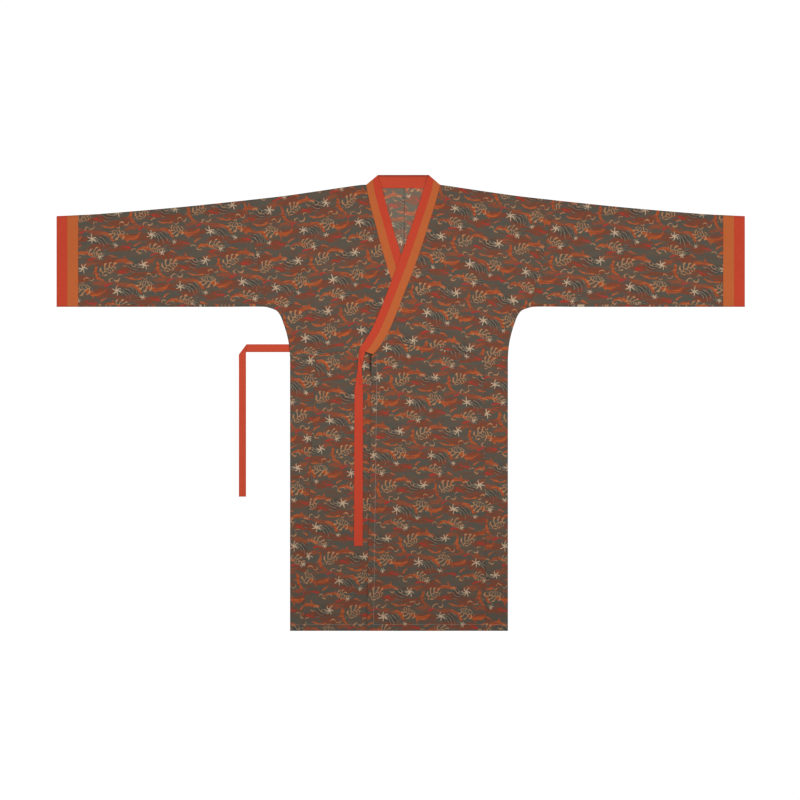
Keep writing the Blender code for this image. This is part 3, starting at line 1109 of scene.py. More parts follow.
@dataclass(frozen=True)
class Print:
    """A generic brush print: drifting cloud wisps, curled leaves, berry sprigs and asters.

    It repeats in rows, each one shifted against the last.
    """

    repeat: Point = (158.0, 148.0)
    shift: float = 61.0
    ground: Colour = linear(82, 81, 72)
    taupe: Colour = linear(95, 83, 70)
    haze: Colour = linear(110, 68, 48)
    rust: Colour = linear(138, 61, 37)
    ember: Colour = linear(144, 69, 42)
    wash: Colour = linear(148, 79, 47)
    orange: Colour = linear(185, 88, 39)
    crimson: Colour = linear(174, 50, 41)
    tan: Colour = linear(182, 132, 92)
    cream: Colour = linear(200, 172, 142)
    silver: Colour = linear(137, 121, 102)
    shadow: Colour = linear(61, 61, 55)
    clouds: Places = (
        Placed(-56, 13, 3), Placed(4, 58, -4, 1.1), Placed(57, 27, 4),
        Placed(-2, -29, -3, 1.1), Placed(-54, -58, 5), Placed(59, -49, -4))
    washes: Places = (
        Placed(-41, 50, 10, 0.66), Placed(45, -13, -12, 0.7),
        Placed(-13, -4, 6, 0.6))
    leaves: Places = (
        Placed(47, 52, 14), Placed(-23, -29, 192), Placed(77, -22, -28, 0.8),
        Placed(-16, 22, 118, 0.85), Placed(13, -65, 8, 0.8))
    asters: Places = (
        Placed(-54, 40, 190), Placed(32, -27, -12), Placed(-7, 70, 30, 0.6),
        Placed(-66, -49, 150, 0.55))
    sprigs: Places = (
        Placed(11, 36, 28), Placed(-56, -20, 168, 0.95),
        Placed(40, -65, -16, 0.85))
    dashes: Places = (
        Placed(-29, 67, 10), Placed(48, 25, -25), Placed(7, -7, 20),
        Placed(-34, -58, 165))
    flecks: Places = (
        Placed(-72, 2, 190, 0.9), Placed(23, 70, -20, 0.8),
        Placed(65, 4, 160, 0.9), Placed(-7, -49, 30, 0.8))
    curls: Places = (
        Placed(27, 4, 24), Placed(-40, 9, -170, 0.9),
        Placed(-9, -70, -12, 0.9), Placed(70, 43, 170, 0.8))
    leaf: tuple[Stroke, ...] = (
        Stroke(-8, -22, 26, 92, 52, 5.6, -0.3),
        Stroke(26, 8, 17, 214, 60, 4.8, 0.5))
    dash: tuple[Stroke, ...] = (Stroke(0, -24, 24, 90, 28, 3.2, 0.5),
                                Stroke(11, 7, 8, 250, 46, 1.9, 0.3))
    curl: tuple[Stroke, ...] = (Stroke(-9, 0, 6.5, 100, 100, 2, 0.2),
                                Stroke(5.5, 1, 8, 270, 80, 2.2, -0.2),
                                Stroke(18, 2, 5.5, 90, 90, 1.8, 0))

    def brush(self) -> Tree:
        """The group that paints one stroke, centred on its circle.

        Returns:
            The group's tree.
        """
        nodes, (vector, radius, centre, sweep, width, lean) = new_group(
            "Brush Stroke", "Vector Radius Centre Sweep Width Lean", "Mask")
        x, y = vector.parts()
        share = (y.then("ARCTAN2", x) - centre).wrapped(math.pi) / sweep
        taper = (1.0 - share * share).then("MAXIMUM", 0.0).then("SQRT")
        half = taper * width * (share * lean + 1.0)
        return nodes.give(Mask=((half - abs(vector.length() - radius)) * 0.8).held())

    def strokes(self, name: str, brush: Tree, table: tuple[Stroke, ...]) -> Tree:
        """A motif made of strokes.

        Args:
            name: Its name.
            brush: The group that paints a stroke.
            table: The strokes.

        Returns:
            The motif's group.
        """
        nodes, (vector,) = new_group(name, "Vector", "Mask")
        return nodes.give(Mask=most(nodes.group(
            brush, Vector=vector - (stroke.x, stroke.y, 0.0), Radius=stroke.radius,
            Centre=math.radians(stroke.centre), Sweep=math.radians(stroke.sweep),
            Width=stroke.width, Lean=stroke.lean)["Mask"] for stroke in table))

    def cloud(self) -> Tree:
        """A wisp of cloud: streaks in a long lens.

        Returns:
            The group's tree.
        """
        nodes, (vector, streaks) = new_group("Cloud Wisp", "Vector Streaks", "Mask")
        body = 1.12 - (vector * (1.0 / 44.0, 1.0 / 14.0, 0.0)).length()
        mask = ((streaks * 3.4 + body - 1.92) * 2.4).held()
        return nodes.give(Mask=mask * (body * 4.0).held())

    def aster(self) -> Tree:
        """A small aster: narrow petals, a long spray of stamens and a shadow behind it.

        Returns:
            The group's tree.
        """
        nodes, (vector,) = new_group("Aster", "Vector", "Petals Spray Shadow")
        x, y = vector.parts()
        away, angle = vector.length(), y.then("ARCTAN2", x)
        swirl = away * 0.03 + angle

        def rays(count: int, width: float, thinning: float, reach: float) -> Value:
            """Straight strokes from the middle, thinning outwards."""
            lines = (away * -thinning + width - abs(swirl.wrapped(math.pi / count) * away)).held()
            return lines * ((reach - away) * 0.5).held()

        window = ((0.55 - abs(angle)) * 6.0).held()
        dim = ((vector - (20.0, 0.0, 0.0)) * (0.035, 0.06, 0.0)).length()
        return nodes.give(Petals=rays(6, 2.2, 0.06, 14.0),
                          Spray=rays(17, 2.1, 0.015, 44.0) * window,
                          Shadow=((1.0 - dim) * 1.6).held())

    def sprig(self) -> Tree:
        """A curved sprig: short twigs in turns along a stem, each with a berry at its tip.

        Returns:
            The group's tree.
        """
        pitch, radius, slant = 9.8, 26.0, 0.05
        nodes, (vector,) = new_group("Berry Sprig", "Vector", "Mask")
        moved = vector + (0.0, radius, 0.0)
        x, y = moved.parts()
        angle, reach = x.then("ARCTAN2", y), moved.length() - radius
        away = abs(reach)
        turns = reach.then("SIGN") * 0.25 + angle * (radius / pitch)
        across = ((away * -slant + turns).then("FRACT") - 0.5) * pitch
        taper = 1.0 - abs(angle) * 0.62
        length = taper * 15.5
        twig = ((1.7 - abs(across)) * (length - away).held()).held()
        berry = (3.0 - nodes.joined(across, away - length).length()).held()
        stem = (1.3 - away).held()
        return nodes.give(Mask=((taper - 0.42) * 8.0).held() * most((twig, berry, stem)))

    def drift(self, vector: Value, fine: Point, detail: float, roughness: float,
              output: str = "Fac") -> Value:
        """Noise that repeats with the print.

        Args:
            vector: Cloth coordinates in mm.
            fine: Its frequency per mm, along and across.
            detail: Its octaves.
            roughness: Their weight.
            output: The noise's value or its colour.

        Returns:
            The noise.
        """
        ring = [(place * (math.tau / (2.0 * size))).then(way) * (2.0 * size * rate / math.tau)
                for place, size, rate in zip(vector.parts(), self.repeat, fine)
                for way in ("COSINE", "SINE")]
        return vector.nodes.value("ShaderNodeTexNoise", {
            "Vector": vector.nodes.joined(*ring[:3]), "W": ring[3], "Scale": 1.0,
            "Detail": detail, "Roughness": roughness}, output, noise_dimensions="4D")

    def wobbled(self, vector: Value) -> Value:
        """Cloth coordinates in mm with a hand's wobble.

        Args:
            vector: The coordinates.

        Returns:
            The same, shifted here and there by a few mm.
        """
        for fine, size in (((0.035, 0.045), 15.0), ((0.2, 0.2), 4.5)):
            wobble = self.drift(vector, fine, 1.0, 0.5, "Color") - (0.5, 0.5, 0.5)
            vector = vector + wobble * (size, size * 0.8, 0.0)
        return vector

    def stand(self, vector: Value, placed: Placed) -> Value:
        """A motif's own coordinates in the nearest repeat.

        Args:
            vector: Cloth coordinates in mm.
            placed: Where the motif stands.

        Returns:
            Coordinates in mm from its middle, turned and sized with it.
        """
        wide, high = self.repeat
        x, y = (vector - (placed.x, placed.y, 0.0)).parts()
        row = (y / high).then("ROUND")
        local = vector.nodes.joined((row * self.shift + x).wrapped(wide / 2.0), row * -high + y)
        turned = vector.nodes.value("ShaderNodeVectorRotate", {
            "Vector": local, "Angle": -math.radians(placed.turn)}, rotation_type="Z_AXIS")
        return turned * (1.0 / placed.size, 1.0 / placed.size, 0.0)

    def painted(self, vector: Value, motif: Tree, places: Places,
                **inputs: Feed) -> dict[str, Value]:
        """Paint one motif.

        Args:
            vector: Cloth coordinates in mm.
            motif: The motif's group.
            places: Every place where it stands.
            inputs: What else feeds it.

        Returns:
            Its masks by name.
        """
        groups = [vector.nodes.group(motif, Vector=self.stand(vector, placed), **inputs)
                  for placed in places]
        return {label: most(group[label] for group in groups) for label in groups[0]}

    def tree(self) -> Tree:
        """The whole print as one node group, on cloth coordinates in mm.

        Returns:
            The group's tree.
        """
        brush = self.brush()
        leaf, dash, curl = (self.strokes(name, brush, table) for name, table in (
            ("Curled Leaf", self.leaf), ("Short Dash", self.dash), ("Small Curl", self.curl)))
        nodes, (vector,) = new_group("Brush Print", "Vector", "Colour")
        drawn = self.wobbled(vector)
        streaks = self.drift(vector, (0.03, 0.24), 2.0, 0.65)
        broad = self.drift(vector, (0.012, 0.06), 2.0, 0.5)
        dry = self.drift(vector, (0.1, 0.34), 1.0, 0.5)

        def raised(noise: Value, start: float, gain: float) -> Value:
            """Noise turned into a mask."""
            return ((noise - start) * gain).held()

        def motifs(motif: Tree, places: Places, **inputs: Feed) -> Value:
            """The mask of one motif at its places."""
            return self.painted(drawn, motif, places, **inputs)["Mask"]

        split, parted = raised(streaks, 0.4, 5.0), raised(dry, 0.4, 5.0)
        dried = raised(dry, 0.3, 4.0) * 0.4 + 0.6
        wisp, aster = self.cloud(), self.painted(drawn, self.aster(), self.asters)
        twigs = most((motifs(curl, self.curls), motifs(self.sprig(), self.sprigs)))
        layers = (  # mask, paint and strength, from the ground up
            (raised(broad, 0.4, 4.0), self.taupe, 1.0),
            (raised(streaks, 0.48, 5.5), self.haze, 0.68),
            (motifs(wisp, self.clouds, Streaks=streaks),
             nodes.mix(parted, self.haze, self.rust), 0.85),
            (motifs(wisp, self.washes, Streaks=dry), nodes.mix(split, self.ember, self.wash),
             0.85),
            (aster["Shadow"], self.shadow, 0.75),
            (motifs(leaf, self.leaves) * dried, nodes.mix(split, self.orange, self.ember), 1.0),
            (motifs(dash, self.flecks) * dried, self.orange, 0.9),
            (motifs(dash, self.dashes) * dried, self.crimson, 0.9),
            (twigs * dried, self.tan, 0.95),
            (aster["Spray"], self.silver, 0.85),
            (aster["Petals"], self.cream, 0.9))
        colour: Feed = self.ground
        for mask, paint, strength in layers:
            colour = nodes.mix(mask * strength, colour, paint)
        return nodes.give(Colour=colour)


def weave_tree() -> Tree:
    """A plain weave's threads and slubs, on cloth coordinates in mm, as a height and a tone.

    Returns:
        The group's tree.
    """
    nodes, (vector, pitch, thick) = new_group("Plain Weave", "Vector Pitch Slub", "Height Tone")
    turns = nodes.math("DIVIDE", math.tau, pitch)
    warp, weft = ((place * turns).then("SINE") for place in vector.parts())
    across, along = (nodes.noise(vector * stretch, 1.0, 3.0)
                     for stretch in ((0.05, 1.1, 0.0), (1.1, 0.05, 0.0)))
    over, slub = warp * weft, (across + along - 1.0) * thick
    return nodes.give(Height=over * 0.5 + (slub * 0.6 + 0.5), Tone=over * 0.03 + (slub + 1.0))


def shade_tree() -> Tree:
    """Paints shade into cloth at its seams and edges, by darkening its colour.

    Returns:
        The group's tree.
    """
    nodes, (colour, tone, shade, depth) = new_group("Seam Shade", "Colour Tone Shade Depth",
                                                    "Colour")
    toned = (1.0 - shade * depth) * tone
    return nodes.give(Colour=nodes.mix(1.0, colour, nodes.joined(toned, toned, toned),
                                       "MULTIPLY"))


WRONG_PRINT = (1.36, 1.3, 1.22)  # the wrong sides' colours, against the right ones
# the plain one is also painted light on the back neck facing, lightening it where the lamp's light
# is weaker
WRONG_PLAIN_AND_PAINTED_LIGHT = (1.04, 1.2, 1.22)
WRONG_FADE = 0.18  # how far the print's wrong side fades to the undyed cloth
UNDYED = linear(150, 152, 138)


@dataclass(frozen=True)
class ClothFinish:
    """A cloth's finish: printed or plain, with its weave and nap."""

    name: str
    colour: Colour | None  # None shows the print
    pitch: float
    slub: float
    roughness: float
    bump: float
    shade_depth: float
    sheen: float = 0.08

    def material(self, groups: dict[str, Tree]) -> bpy.types.Material:
        """Build the material.

        Args:
            groups: The shared node groups.

        Returns:
            The material.
        """
        made = bpy.data.materials.new(self.name)
        nodes = new_nodes(made)
        cloth = nodes.value("ShaderNodeUVMap", uv_map="cloth") * (1000.0, 1000.0, 0.0)
        weave = nodes.group(groups["weave"], Vector=cloth, Pitch=self.pitch, Slub=self.slub)
        shade, wrong = (nodes.value("ShaderNodeAttribute", output="Fac", attribute_name=name)
                        for name in ("seam_shade", "wrong_side"))
        if self.colour is None:
            right = nodes.group(groups["print"], Vector=cloth)["Colour"]
            paler = nodes.mix(WRONG_FADE, right * WRONG_PRINT, UNDYED)
        else:
            right = nodes.mix(nodes.noise(cloth, 0.02), *(
                tuple(part * tone for part in self.colour) for tone in (0.95, 1.05)))
            paler = right * WRONG_PLAIN_AND_PAINTED_LIGHT
        shaded = nodes.group(groups["shade"], Colour=nodes.mix(wrong, right, paler),
                             Tone=weave["Tone"], Shade=shade, Depth=self.shade_depth)
        nodes.show_cloth({
            "Base Color": shaded["Colour"], "Specular IOR Level": 0.12,
            "Roughness": weave["Height"] * 0.08 + (self.roughness - 0.04),
            "Sheen Weight": self.sheen, "Sheen Roughness": 0.6},
            weave["Height"], (self.bump, 0.0002))
        return made


@dataclass(frozen=True)
class ThreadFinish:
    """Sewing thread, with its twist."""

    name: str = "topstitch_thread"
    colour: Colour = linear(188, 168, 154)
    roughness: float = 0.6

    def material(self) -> bpy.types.Material:
        """Build the thread's material on object coordinates.

        Returns:
            The material.
        """
        made = bpy.data.materials.new(self.name)
        nodes = new_nodes(made)
        place = nodes.value("ShaderNodeTexCoord", output="Object")
        twist = nodes.noise(place, 900.0)
        colour = nodes.mix(twist, *(tuple(min(part * tone, 1.0) for part in self.colour)
                                    for tone in (0.8, 1.2)))
        nodes.show_cloth({"Base Color": colour, "Roughness": self.roughness,
                          "Specular IOR Level": 0.3}, twist, (0.4, 0.0001))
        return made


PRINTED = ClothFinish("printed_cloth", None, 0.55, 0.12, 0.88, 0.35, 0.55)
RED = ClothFinish("red_band_cloth", linear(196, 66, 42), 0.6, 0.05, 0.8, 0.3, 0.5)
ORANGE = ClothFinish("orange_band_cloth", linear(190, 97, 49), 0.6, 0.05, 0.8, 0.3, 0.5)
THREAD = ThreadFinish()


def cloth_materials() -> dict[str, bpy.types.Material]:
    """The finished cloths by the record's slot, on their shared node groups."""
    groups = {"print": Print().tree(), "weave": weave_tree(), "shade": shade_tree()}
    finishes = {"printed_cloth": PRINTED, "red_cloth": RED, "orange_cloth": ORANGE}
    return {slot: made.material(groups) for slot, made in finishes.items()}


# --- Sub-assemblies ---

CREASES = (
    Crease((292, 262), (176, 338), 15, 0.99),
    Crease((286, 222), (196, 262), 12, 0.72),
    Crease((300, 300), (398, 420), 17, 0.90),
    Crease((-300, 258), (-196, 330), 14, 0.90),
    Crease((-296, 212), (-208, 246), 11, 0.72),
    Crease((-306, 306), (-392, 410), 16, 0.99),
    Crease((470, 300), (610, 352), 18, 0.81),
    Crease((-480, 296), (-640, 340), 19, 0.81),
    Crease((720, 288), (842, 330), 15, 0.63),
    Crease((-700, 500), (-842, 455), 16, 0.63),
    Crease((30, 150), (22, -210), 20, 0.72),
    Crease((150, 96), (168, -350), 24, 0.81),
    Crease((84, -250), (70, -560), 22, 0.72),
    Crease((-190, 100), (-206, -300), 20, 0.72),
    Crease((-160, -260), (-150, -560), 18, 0.63),
    Crease((214, -300), (206, -600), 18, 0.63),
)


COVER_START, COVER_RUN = 12.0, 34.0  # from the over front's edge
OPEN_LIFT, OPEN_Y, OPEN_RUN = 1.1, 100.0, 46.0  # the free edge's lift below the collar's end
OPEN_START, OPEN_REACH = 14.0, 26.0  # and its reach across the over front


def uncovered(x: Array, y: Array) -> Array:
    """1 where the under front shows, 0 where the over front covers it."""
    return ease((DRAFT.over_edge_x(y) - COVER_START - x) / COVER_RUN)


LAID = Ease(0.6, 0.3, CREASES)
LAID_UNDER = Ease(0.6, 0.3, CREASES, uncovered)


def hem_lift(x: Array, y: Array) -> Array:
    """The turned-up hem's second layer."""
    return HEM_LAYER * ease((HEM_LINE_Y + TURN_RUN - y) / (2.0 * TURN_RUN)) + 0.0 * x


def over_lift(x: Array, y: Array) -> Array:
    """The turned-in free edge and hem of the over front, standing up a little at its top."""
    facing = FACING_LAYER * ease((DRAFT.facing_x(y) + TURN_RUN - x) / (2.0 * TURN_RUN))
    return np.maximum(hem_lift(x, y), facing)


def over_loose(x: Array, y: Array) -> Array:
    """The over front's looseness, with its free edge lifting below the collar's end."""
    reach = ease(1.0 - (x - DRAFT.facing_x(y) + OPEN_START) / OPEN_REACH)
    return LAID(x, y) + OPEN_LIFT * reach * np.exp(-((y - OPEN_Y) / OPEN_RUN) ** 2)


@dataclass(frozen=True)
class ContactShadow:
    """Shadow that the over front's free edge and its collar's end cast on the under front."""

    open_y: float = 102.0  # below this height the free edge closes down
    open_run: float = 16.0
    below: float = 1.5  # how far under the edge its darkest line lies
    widths: Point = (2.4, 8.0)  # where the edge is closed, and where it is open
    depths: Point = (0.12, 1.3)
    end_width: float = 5.0
    end_depth: float = 2.4
    deepest: float = 1.7
    top_run: float = 3.0  # how far it fades out past the free edge's top

    def __call__(self, x: Array, y: Array) -> Array:
        """The shade at points of the under front.

        Args:
            x: The points' x.
            y: The points' y.

        Returns:
            One shade for each point.
        """
        away = np.abs(x - DRAFT.down_skirt(OVER_EDGE, y) + self.below)
        is_open = np.exp(-(np.maximum(self.open_y - y, 0.0) / self.open_run) ** 2)
        near = ease(1.0 - away / blend(*self.widths, is_open))
        near = near * ease((FREE_EDGE_Y + self.top_run - y) / (2.0 * self.top_run))
        near = near * blend(*self.depths, is_open)
        end = self.end_depth * beside(x, y, DRAFT.collar_end(), self.end_width)
        return np.maximum(near, np.minimum(end, self.deepest))


def front_manner(side: Side) -> dict[str, Height]:
    """How a front lies and is shaded: the over front, or the under one below it."""
    if side is DRAFT.over:
        return {"under": DRAFT.over_floor, "loose": over_loose}
    return {"under": level(FRONT_FLOOR), "loose": LAID_UNDER, "shade": ContactShadow()}


def shadow_guides() -> list[Line]:
    """Lines beside which the under front needs a fine mesh for that shadow."""
    top, foot = (OVER_EDGE[0], FREE_EDGE_Y), (OVER_EDGE[0] - 0.8, FREE_EDGE_Y - 80.0)
    return [[(x, y - drop) for x, y in DRAFT.collar_end()] for drop in (0.5, 4.5)] + [
        [(x - out, y - 4.0) for x, y in (top, foot)] for out in (1.0, 6.0)]


@dataclass
class Sheet:
    """A finished piece's sheet of cloth: its cut and what it lies on."""

    piece: Piece
    flat: tuple[float, float]
    area: float
    rests_on: tuple[str, ...]
    with_pieces: tuple[Piece, ...] = ()

    def declare(self) -> None:
        """Take the smaller of its area and its width times its length; nothing keeps the result.
        """
        width, length = self.flat
        min(self.area, width * length)


@dataclass
class Robe:
    """Collects the finished pieces and their sheets."""

    materials: dict[str, bpy.types.Material]
    sheets: list[Sheet] = field(default_factory=list)

    def add(self, part: Panel | Tube, slot: str, rests_on: tuple[str, ...],
            nodes: tuple[str, ...] = ()) -> None:
        """Build a piece, give it its cloth, tie it to the part and note its sheet.

        Args:
            part: The piece as drafted.
            slot: The record's material slot.
            rests_on: What it lies on.
            nodes: The CAD nodes that it stands for, when not its own name.
        """
        piece = part.build()
        piece.data.materials.append(self.materials[slot])
        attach(piece, "root")
        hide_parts(*(nodes or (part.name,)))
        LOG.info("%s: %d faces", piece.name, len(piece.data.polygons))
        self.sheets.append(Sheet(piece, *part.cut_size(), rests_on))

    def sheet_of(self, name: str) -> Sheet:
        """The sheet of the piece with this name."""
        return next(sheet for sheet in self.sheets if sheet.piece.name == name)


@dataclass
class Bodice:
    """The four halves of the bodice."""

    front_turn: float = 8.0  # the print follows the shoulder's slope
    front_spacing: float = 6.0
    back_spacing: float = 9.0

    def side_edges(self, side: Side, kind: EdgeKind) -> list[Edge]:
        """Shoulder, sleeve seam and underarm, from the neck down to the waist.

        Args:
            side: The wearer's side.
            kind: How the shoulder and underarm end.

        Returns:
            The three edges.
        """
        corner = DRAFT.collar_edge(side, "outer")[0]
        shoulder = [corner] + DRAFT.top_stretch(side, abs(corner[0]), SLEEVE_HEAD)[1:]
        underarm = DRAFT.underarm(side)
        return [Edge(shoulder, kind), Edge([shoulder[-1], underarm[0]], EdgeKind.SEAM),
                Edge(underarm, kind)]

    def front(self, side: Side) -> Panel:
        """A front half, between its collar band, the sleeve and the waist seam.

        Args:
            side: The wearer's side.

        Returns:
            The panel.
        """
        over = side is DRAFT.over
        edges = self.side_edges(side, EdgeKind.SIDE_FRONT)
        upper, _ = DRAFT.cut_above(DRAFT.collar_edge(side, "outer"), side)
        waist = [edges[-1].line[-1], upper[-1]]
        edges += [Edge(waist, EdgeKind.SEAM), Edge(upper[::-1], EdgeKind.BAND_JOIN)]
        return Panel(
            f"bodice_front_{side.label}", edges, spacing=self.front_spacing,
            grain=Grain(-self.front_turn * side.value, (31.0, 12.0) if over else (-12.0, 55.0)),
            wrong=Face.BOTTOM, **front_manner(side))

    def back(self, side: Side) -> Panel:
        """A back half, from the centre-back seam to the sleeve.

        Args:
            side: The wearer's side.

        Returns:
            The panel.
        """
        foot_y, foot_half = BACK_BAND_FOOT
        corner = DRAFT.collar_edge(side, "outer")[0]
        neck = [(CENTRE_BACK_X, foot_y), (NECK_X + side.value * foot_half, foot_y), corner]
        edges = [Edge(neck, EdgeKind.SEAM, False)] + self.side_edges(side, EdgeKind.SIDE_BACK)
        centre = (CENTRE_BACK_X, BACK_WAIST_Y)
        edges += [Edge([edges[-1].line[-1], centre], EdgeKind.SEAM),
                  Edge([centre, neck[0]], EdgeKind.CENTRE_SEAM)]
        return Panel(
            f"bodice_back_{side.label}", edges, level(FLOOR_CLEAR), spacing=self.back_spacing,
            grain=Grain(-self.front_turn * side.value, (64.0, 25.0 - 50.0 * side.value)),
            wrong=Face.TOP)

    def build(self, robe: Robe) -> None:
        """Make the halves.

        Args:
            robe: What they are added to.
        """
        for side in Side:
            name = side.label
            robe.add(self.back(side), "printed_cloth", ("floor",))
            robe.add(self.front(side), "printed_cloth", (f"bodice_back_{name}",))


@dataclass
class Skirt:
    """The skirt: two backs, the over and under fronts and a narrow side panel each."""

    front_spacing: float = 6.0
    back_spacing: float = 10.0

    def back(self, side: Side) -> Panel:
        """A back half.

        Args:
            side: The wearer's side.

        Returns:
            The panel.
        """
        edge = DRAFT.body_edge(side)
        centre_top, centre_foot = (CENTRE_BACK_X, BACK_WAIST_Y), (CENTRE_BACK_X, HEM_Y)
        edges = straight([centre_top, (edge, WAIST_Y), (edge, HEM_Y), centre_foot],
                         EdgeKind.SEAM, EdgeKind.SIDE_BACK, EdgeKind.HEM, EdgeKind.CENTRE_SEAM)
        return Panel(f"skirt_back_{side.label}", edges, level(FLOOR_CLEAR),
                     spacing=self.back_spacing, grain=Grain(0.0, (40.0 * side.value, 90.0)),
                     wrong=Face.TOP)

    def front(self, side: Side) -> Panel:
        """A front panel, from the free edge to the seam of the side panel.

        Args:
            side: The wearer's side.

        Returns:
            The panel.
        """
        over = side is DRAFT.over
        free, seam = (OVER_EDGE, OVER_SIDE_SEAM) if over else (UNDER_EDGE, UNDER_SIDE_SEAM)
        _, lower = DRAFT.cut_above(DRAFT.collar_edge(side, "outer"), side)
        seam_top = (seam[0], DRAFT.waist_y(side, seam[0]))
        seam_foot, free_foot = (seam[1], HEM_Y), (free[1], HEM_Y)
        free_top = (free[0], FREE_EDGE_Y)
        free_kind = EdgeKind.FREE if over else EdgeKind.FOLDED
        edges = straight([seam_top, seam_foot, free_foot, free_top, lower[-1]],
                         EdgeKind.SEAM, EdgeKind.HEM, free_kind, free_kind)
        edges += [Edge(lower[::-1], EdgeKind.BAND_JOIN),
                  Edge([lower[0], seam_top], EdgeKind.SEAM)]
        guides = [[(free_foot[0], HEM_LINE_Y), (seam_foot[0], HEM_LINE_Y)]]
        guides += [[(FACING_EDGE[0], FREE_EDGE_Y), (FACING_EDGE[1], HEM_Y)]] if over else (
            shadow_guides())
        return Panel(
            f"skirt_front_{side.label}", edges, spacing=self.front_spacing,
            grain=Grain(0.0, (8.0, -30.0) if over else (70.0, 20.0)), wrong=Face.BOTTOM,
            lift=over_lift if over else hem_lift, guides=guides, **front_manner(side))

    def side(self, side: Side) -> Panel:
        """A narrow side panel.

        Args:
            side: The wearer's side.

        Returns:
            The panel.
        """
        seam = OVER_SIDE_SEAM if side is DRAFT.over else UNDER_SIDE_SEAM
        edge = DRAFT.body_edge(side)
        seam_top, seam_foot = (seam[0], DRAFT.waist_y(side, seam[0])), (seam[1], HEM_Y)
        edges = straight([seam_top, (edge, WAIST_Y), (edge, HEM_Y), seam_foot],
                         EdgeKind.SEAM, EdgeKind.SIDE_FRONT, EdgeKind.HEM, EdgeKind.SEAM)
        return Panel(
            f"skirt_side_{side.label}", edges, level(FRONT_FLOOR),
            spacing=self.front_spacing, grain=Grain(0.0, (25.0 * side.value, 71.0)),
            wrong=Face.BOTTOM, loose=LAID, lift=hem_lift,
            guides=[[(seam_foot[0], HEM_LINE_Y), (edge, HEM_LINE_Y)]])

    def build(self, robe: Robe) -> None:
        """Make the panels.

        Args:
            robe: What they are added to.
        """
        for side in Side:
            name = side.label
            robe.add(self.back(side), "printed_cloth", ("floor",))
            robe.add(self.side(side), "printed_cloth", (f"skirt_back_{name}",))
        robe.add(self.front(Side.RIGHT), "printed_cloth", ("skirt_back_right", "skirt_back_left"))
        robe.add(self.front(Side.LEFT), "printed_cloth", ("skirt_front_right", "skirt_back_left"))


@dataclass
class Sleeves:
    """Both sleeves with their two-colour cuff bands, each a folded tube."""

    print_lean: float = 0.05
    along: int = 78
    across: int = 44
    cuff_along: int = 6
    level_from: float = 500.0  # the lower edge's distance from the middle where it is level

    def sleeve(self, side: Side) -> Tube:
        """A sleeve, from its seam to the cuff.

        Args:
            side: The wearer's side.

        Returns:
            The tube.
        """
        foot = DRAFT.underarm(side)[0]
        near = (foot[0] + side.value * SLEEVE_FOOT_RUN, SLEEVE_Y)
        return Tube(
            f"sleeve_{side.label}", DRAFT.top_stretch(side, SLEEVE_HEAD, CUFF_START),
            [foot, near, (side.value * self.level_from, SLEEVE_Y),
             (side.value * CUFF_START, SLEEVE_Y)], CLOTH_WALL, 2.0 * CLOTH + GAP, self.along,
            self.across, self.print_lean, (17.0 * side.value, 40.0), LAID)

    def cuff(self, side: Side, part: str, near: float, far: float) -> Tube:
        """A cuff band between two distances from the middle.

        Args:
            side: The wearer's side.
            part: inner or outer.
            near: Its start.
            far: Its end.

        Returns:
            The tube.
        """
        return Tube(
            f"cuff_{side.label}_{part}", DRAFT.top_stretch(side, near, far),
            [(side.value * near, SLEEVE_Y), (side.value * far, SLEEVE_Y)], CUFF_WALL,
            2.0 * CUFF + GAP, self.cuff_along, self.across, loose=Ease(0.3, 0.3),
            end_shades=(0.3, 0.0) if part == "inner" else (0.0, 0.25), edge_shade=0.35)

    def build(self, robe: Robe) -> None:
        """Make the sleeves and cuffs.

        Args:
            robe: What they are added to.
        """
        for side in Side:
            name = side.label
            robe.add(self.sleeve(side), "printed_cloth", ("floor",),
                     (f"sleeve_{name}_back", f"sleeve_{name}_front"))
            for part, near, far, slot in (
                    ("inner", CUFF_START, CUFF_SPLIT, "orange_cloth"),
                    ("outer", CUFF_SPLIT, HALF_SPAN, "red_cloth")):
                robe.add(self.cuff(side, part, near, far), slot, ("floor",),
                         (f"cuff_{name}_{part}_back", f"cuff_{name}_{part}_front"))


class Crossing(NamedTuple):
    """A value that grows from nothing as y passes a height."""

    start: float
    run: float  # how far it takes, negative when it grows downwards
    value: float

    def at(self, y: Array) -> Array:
        """The value at y."""
        return self.value * ease((y - self.start) / self.run)


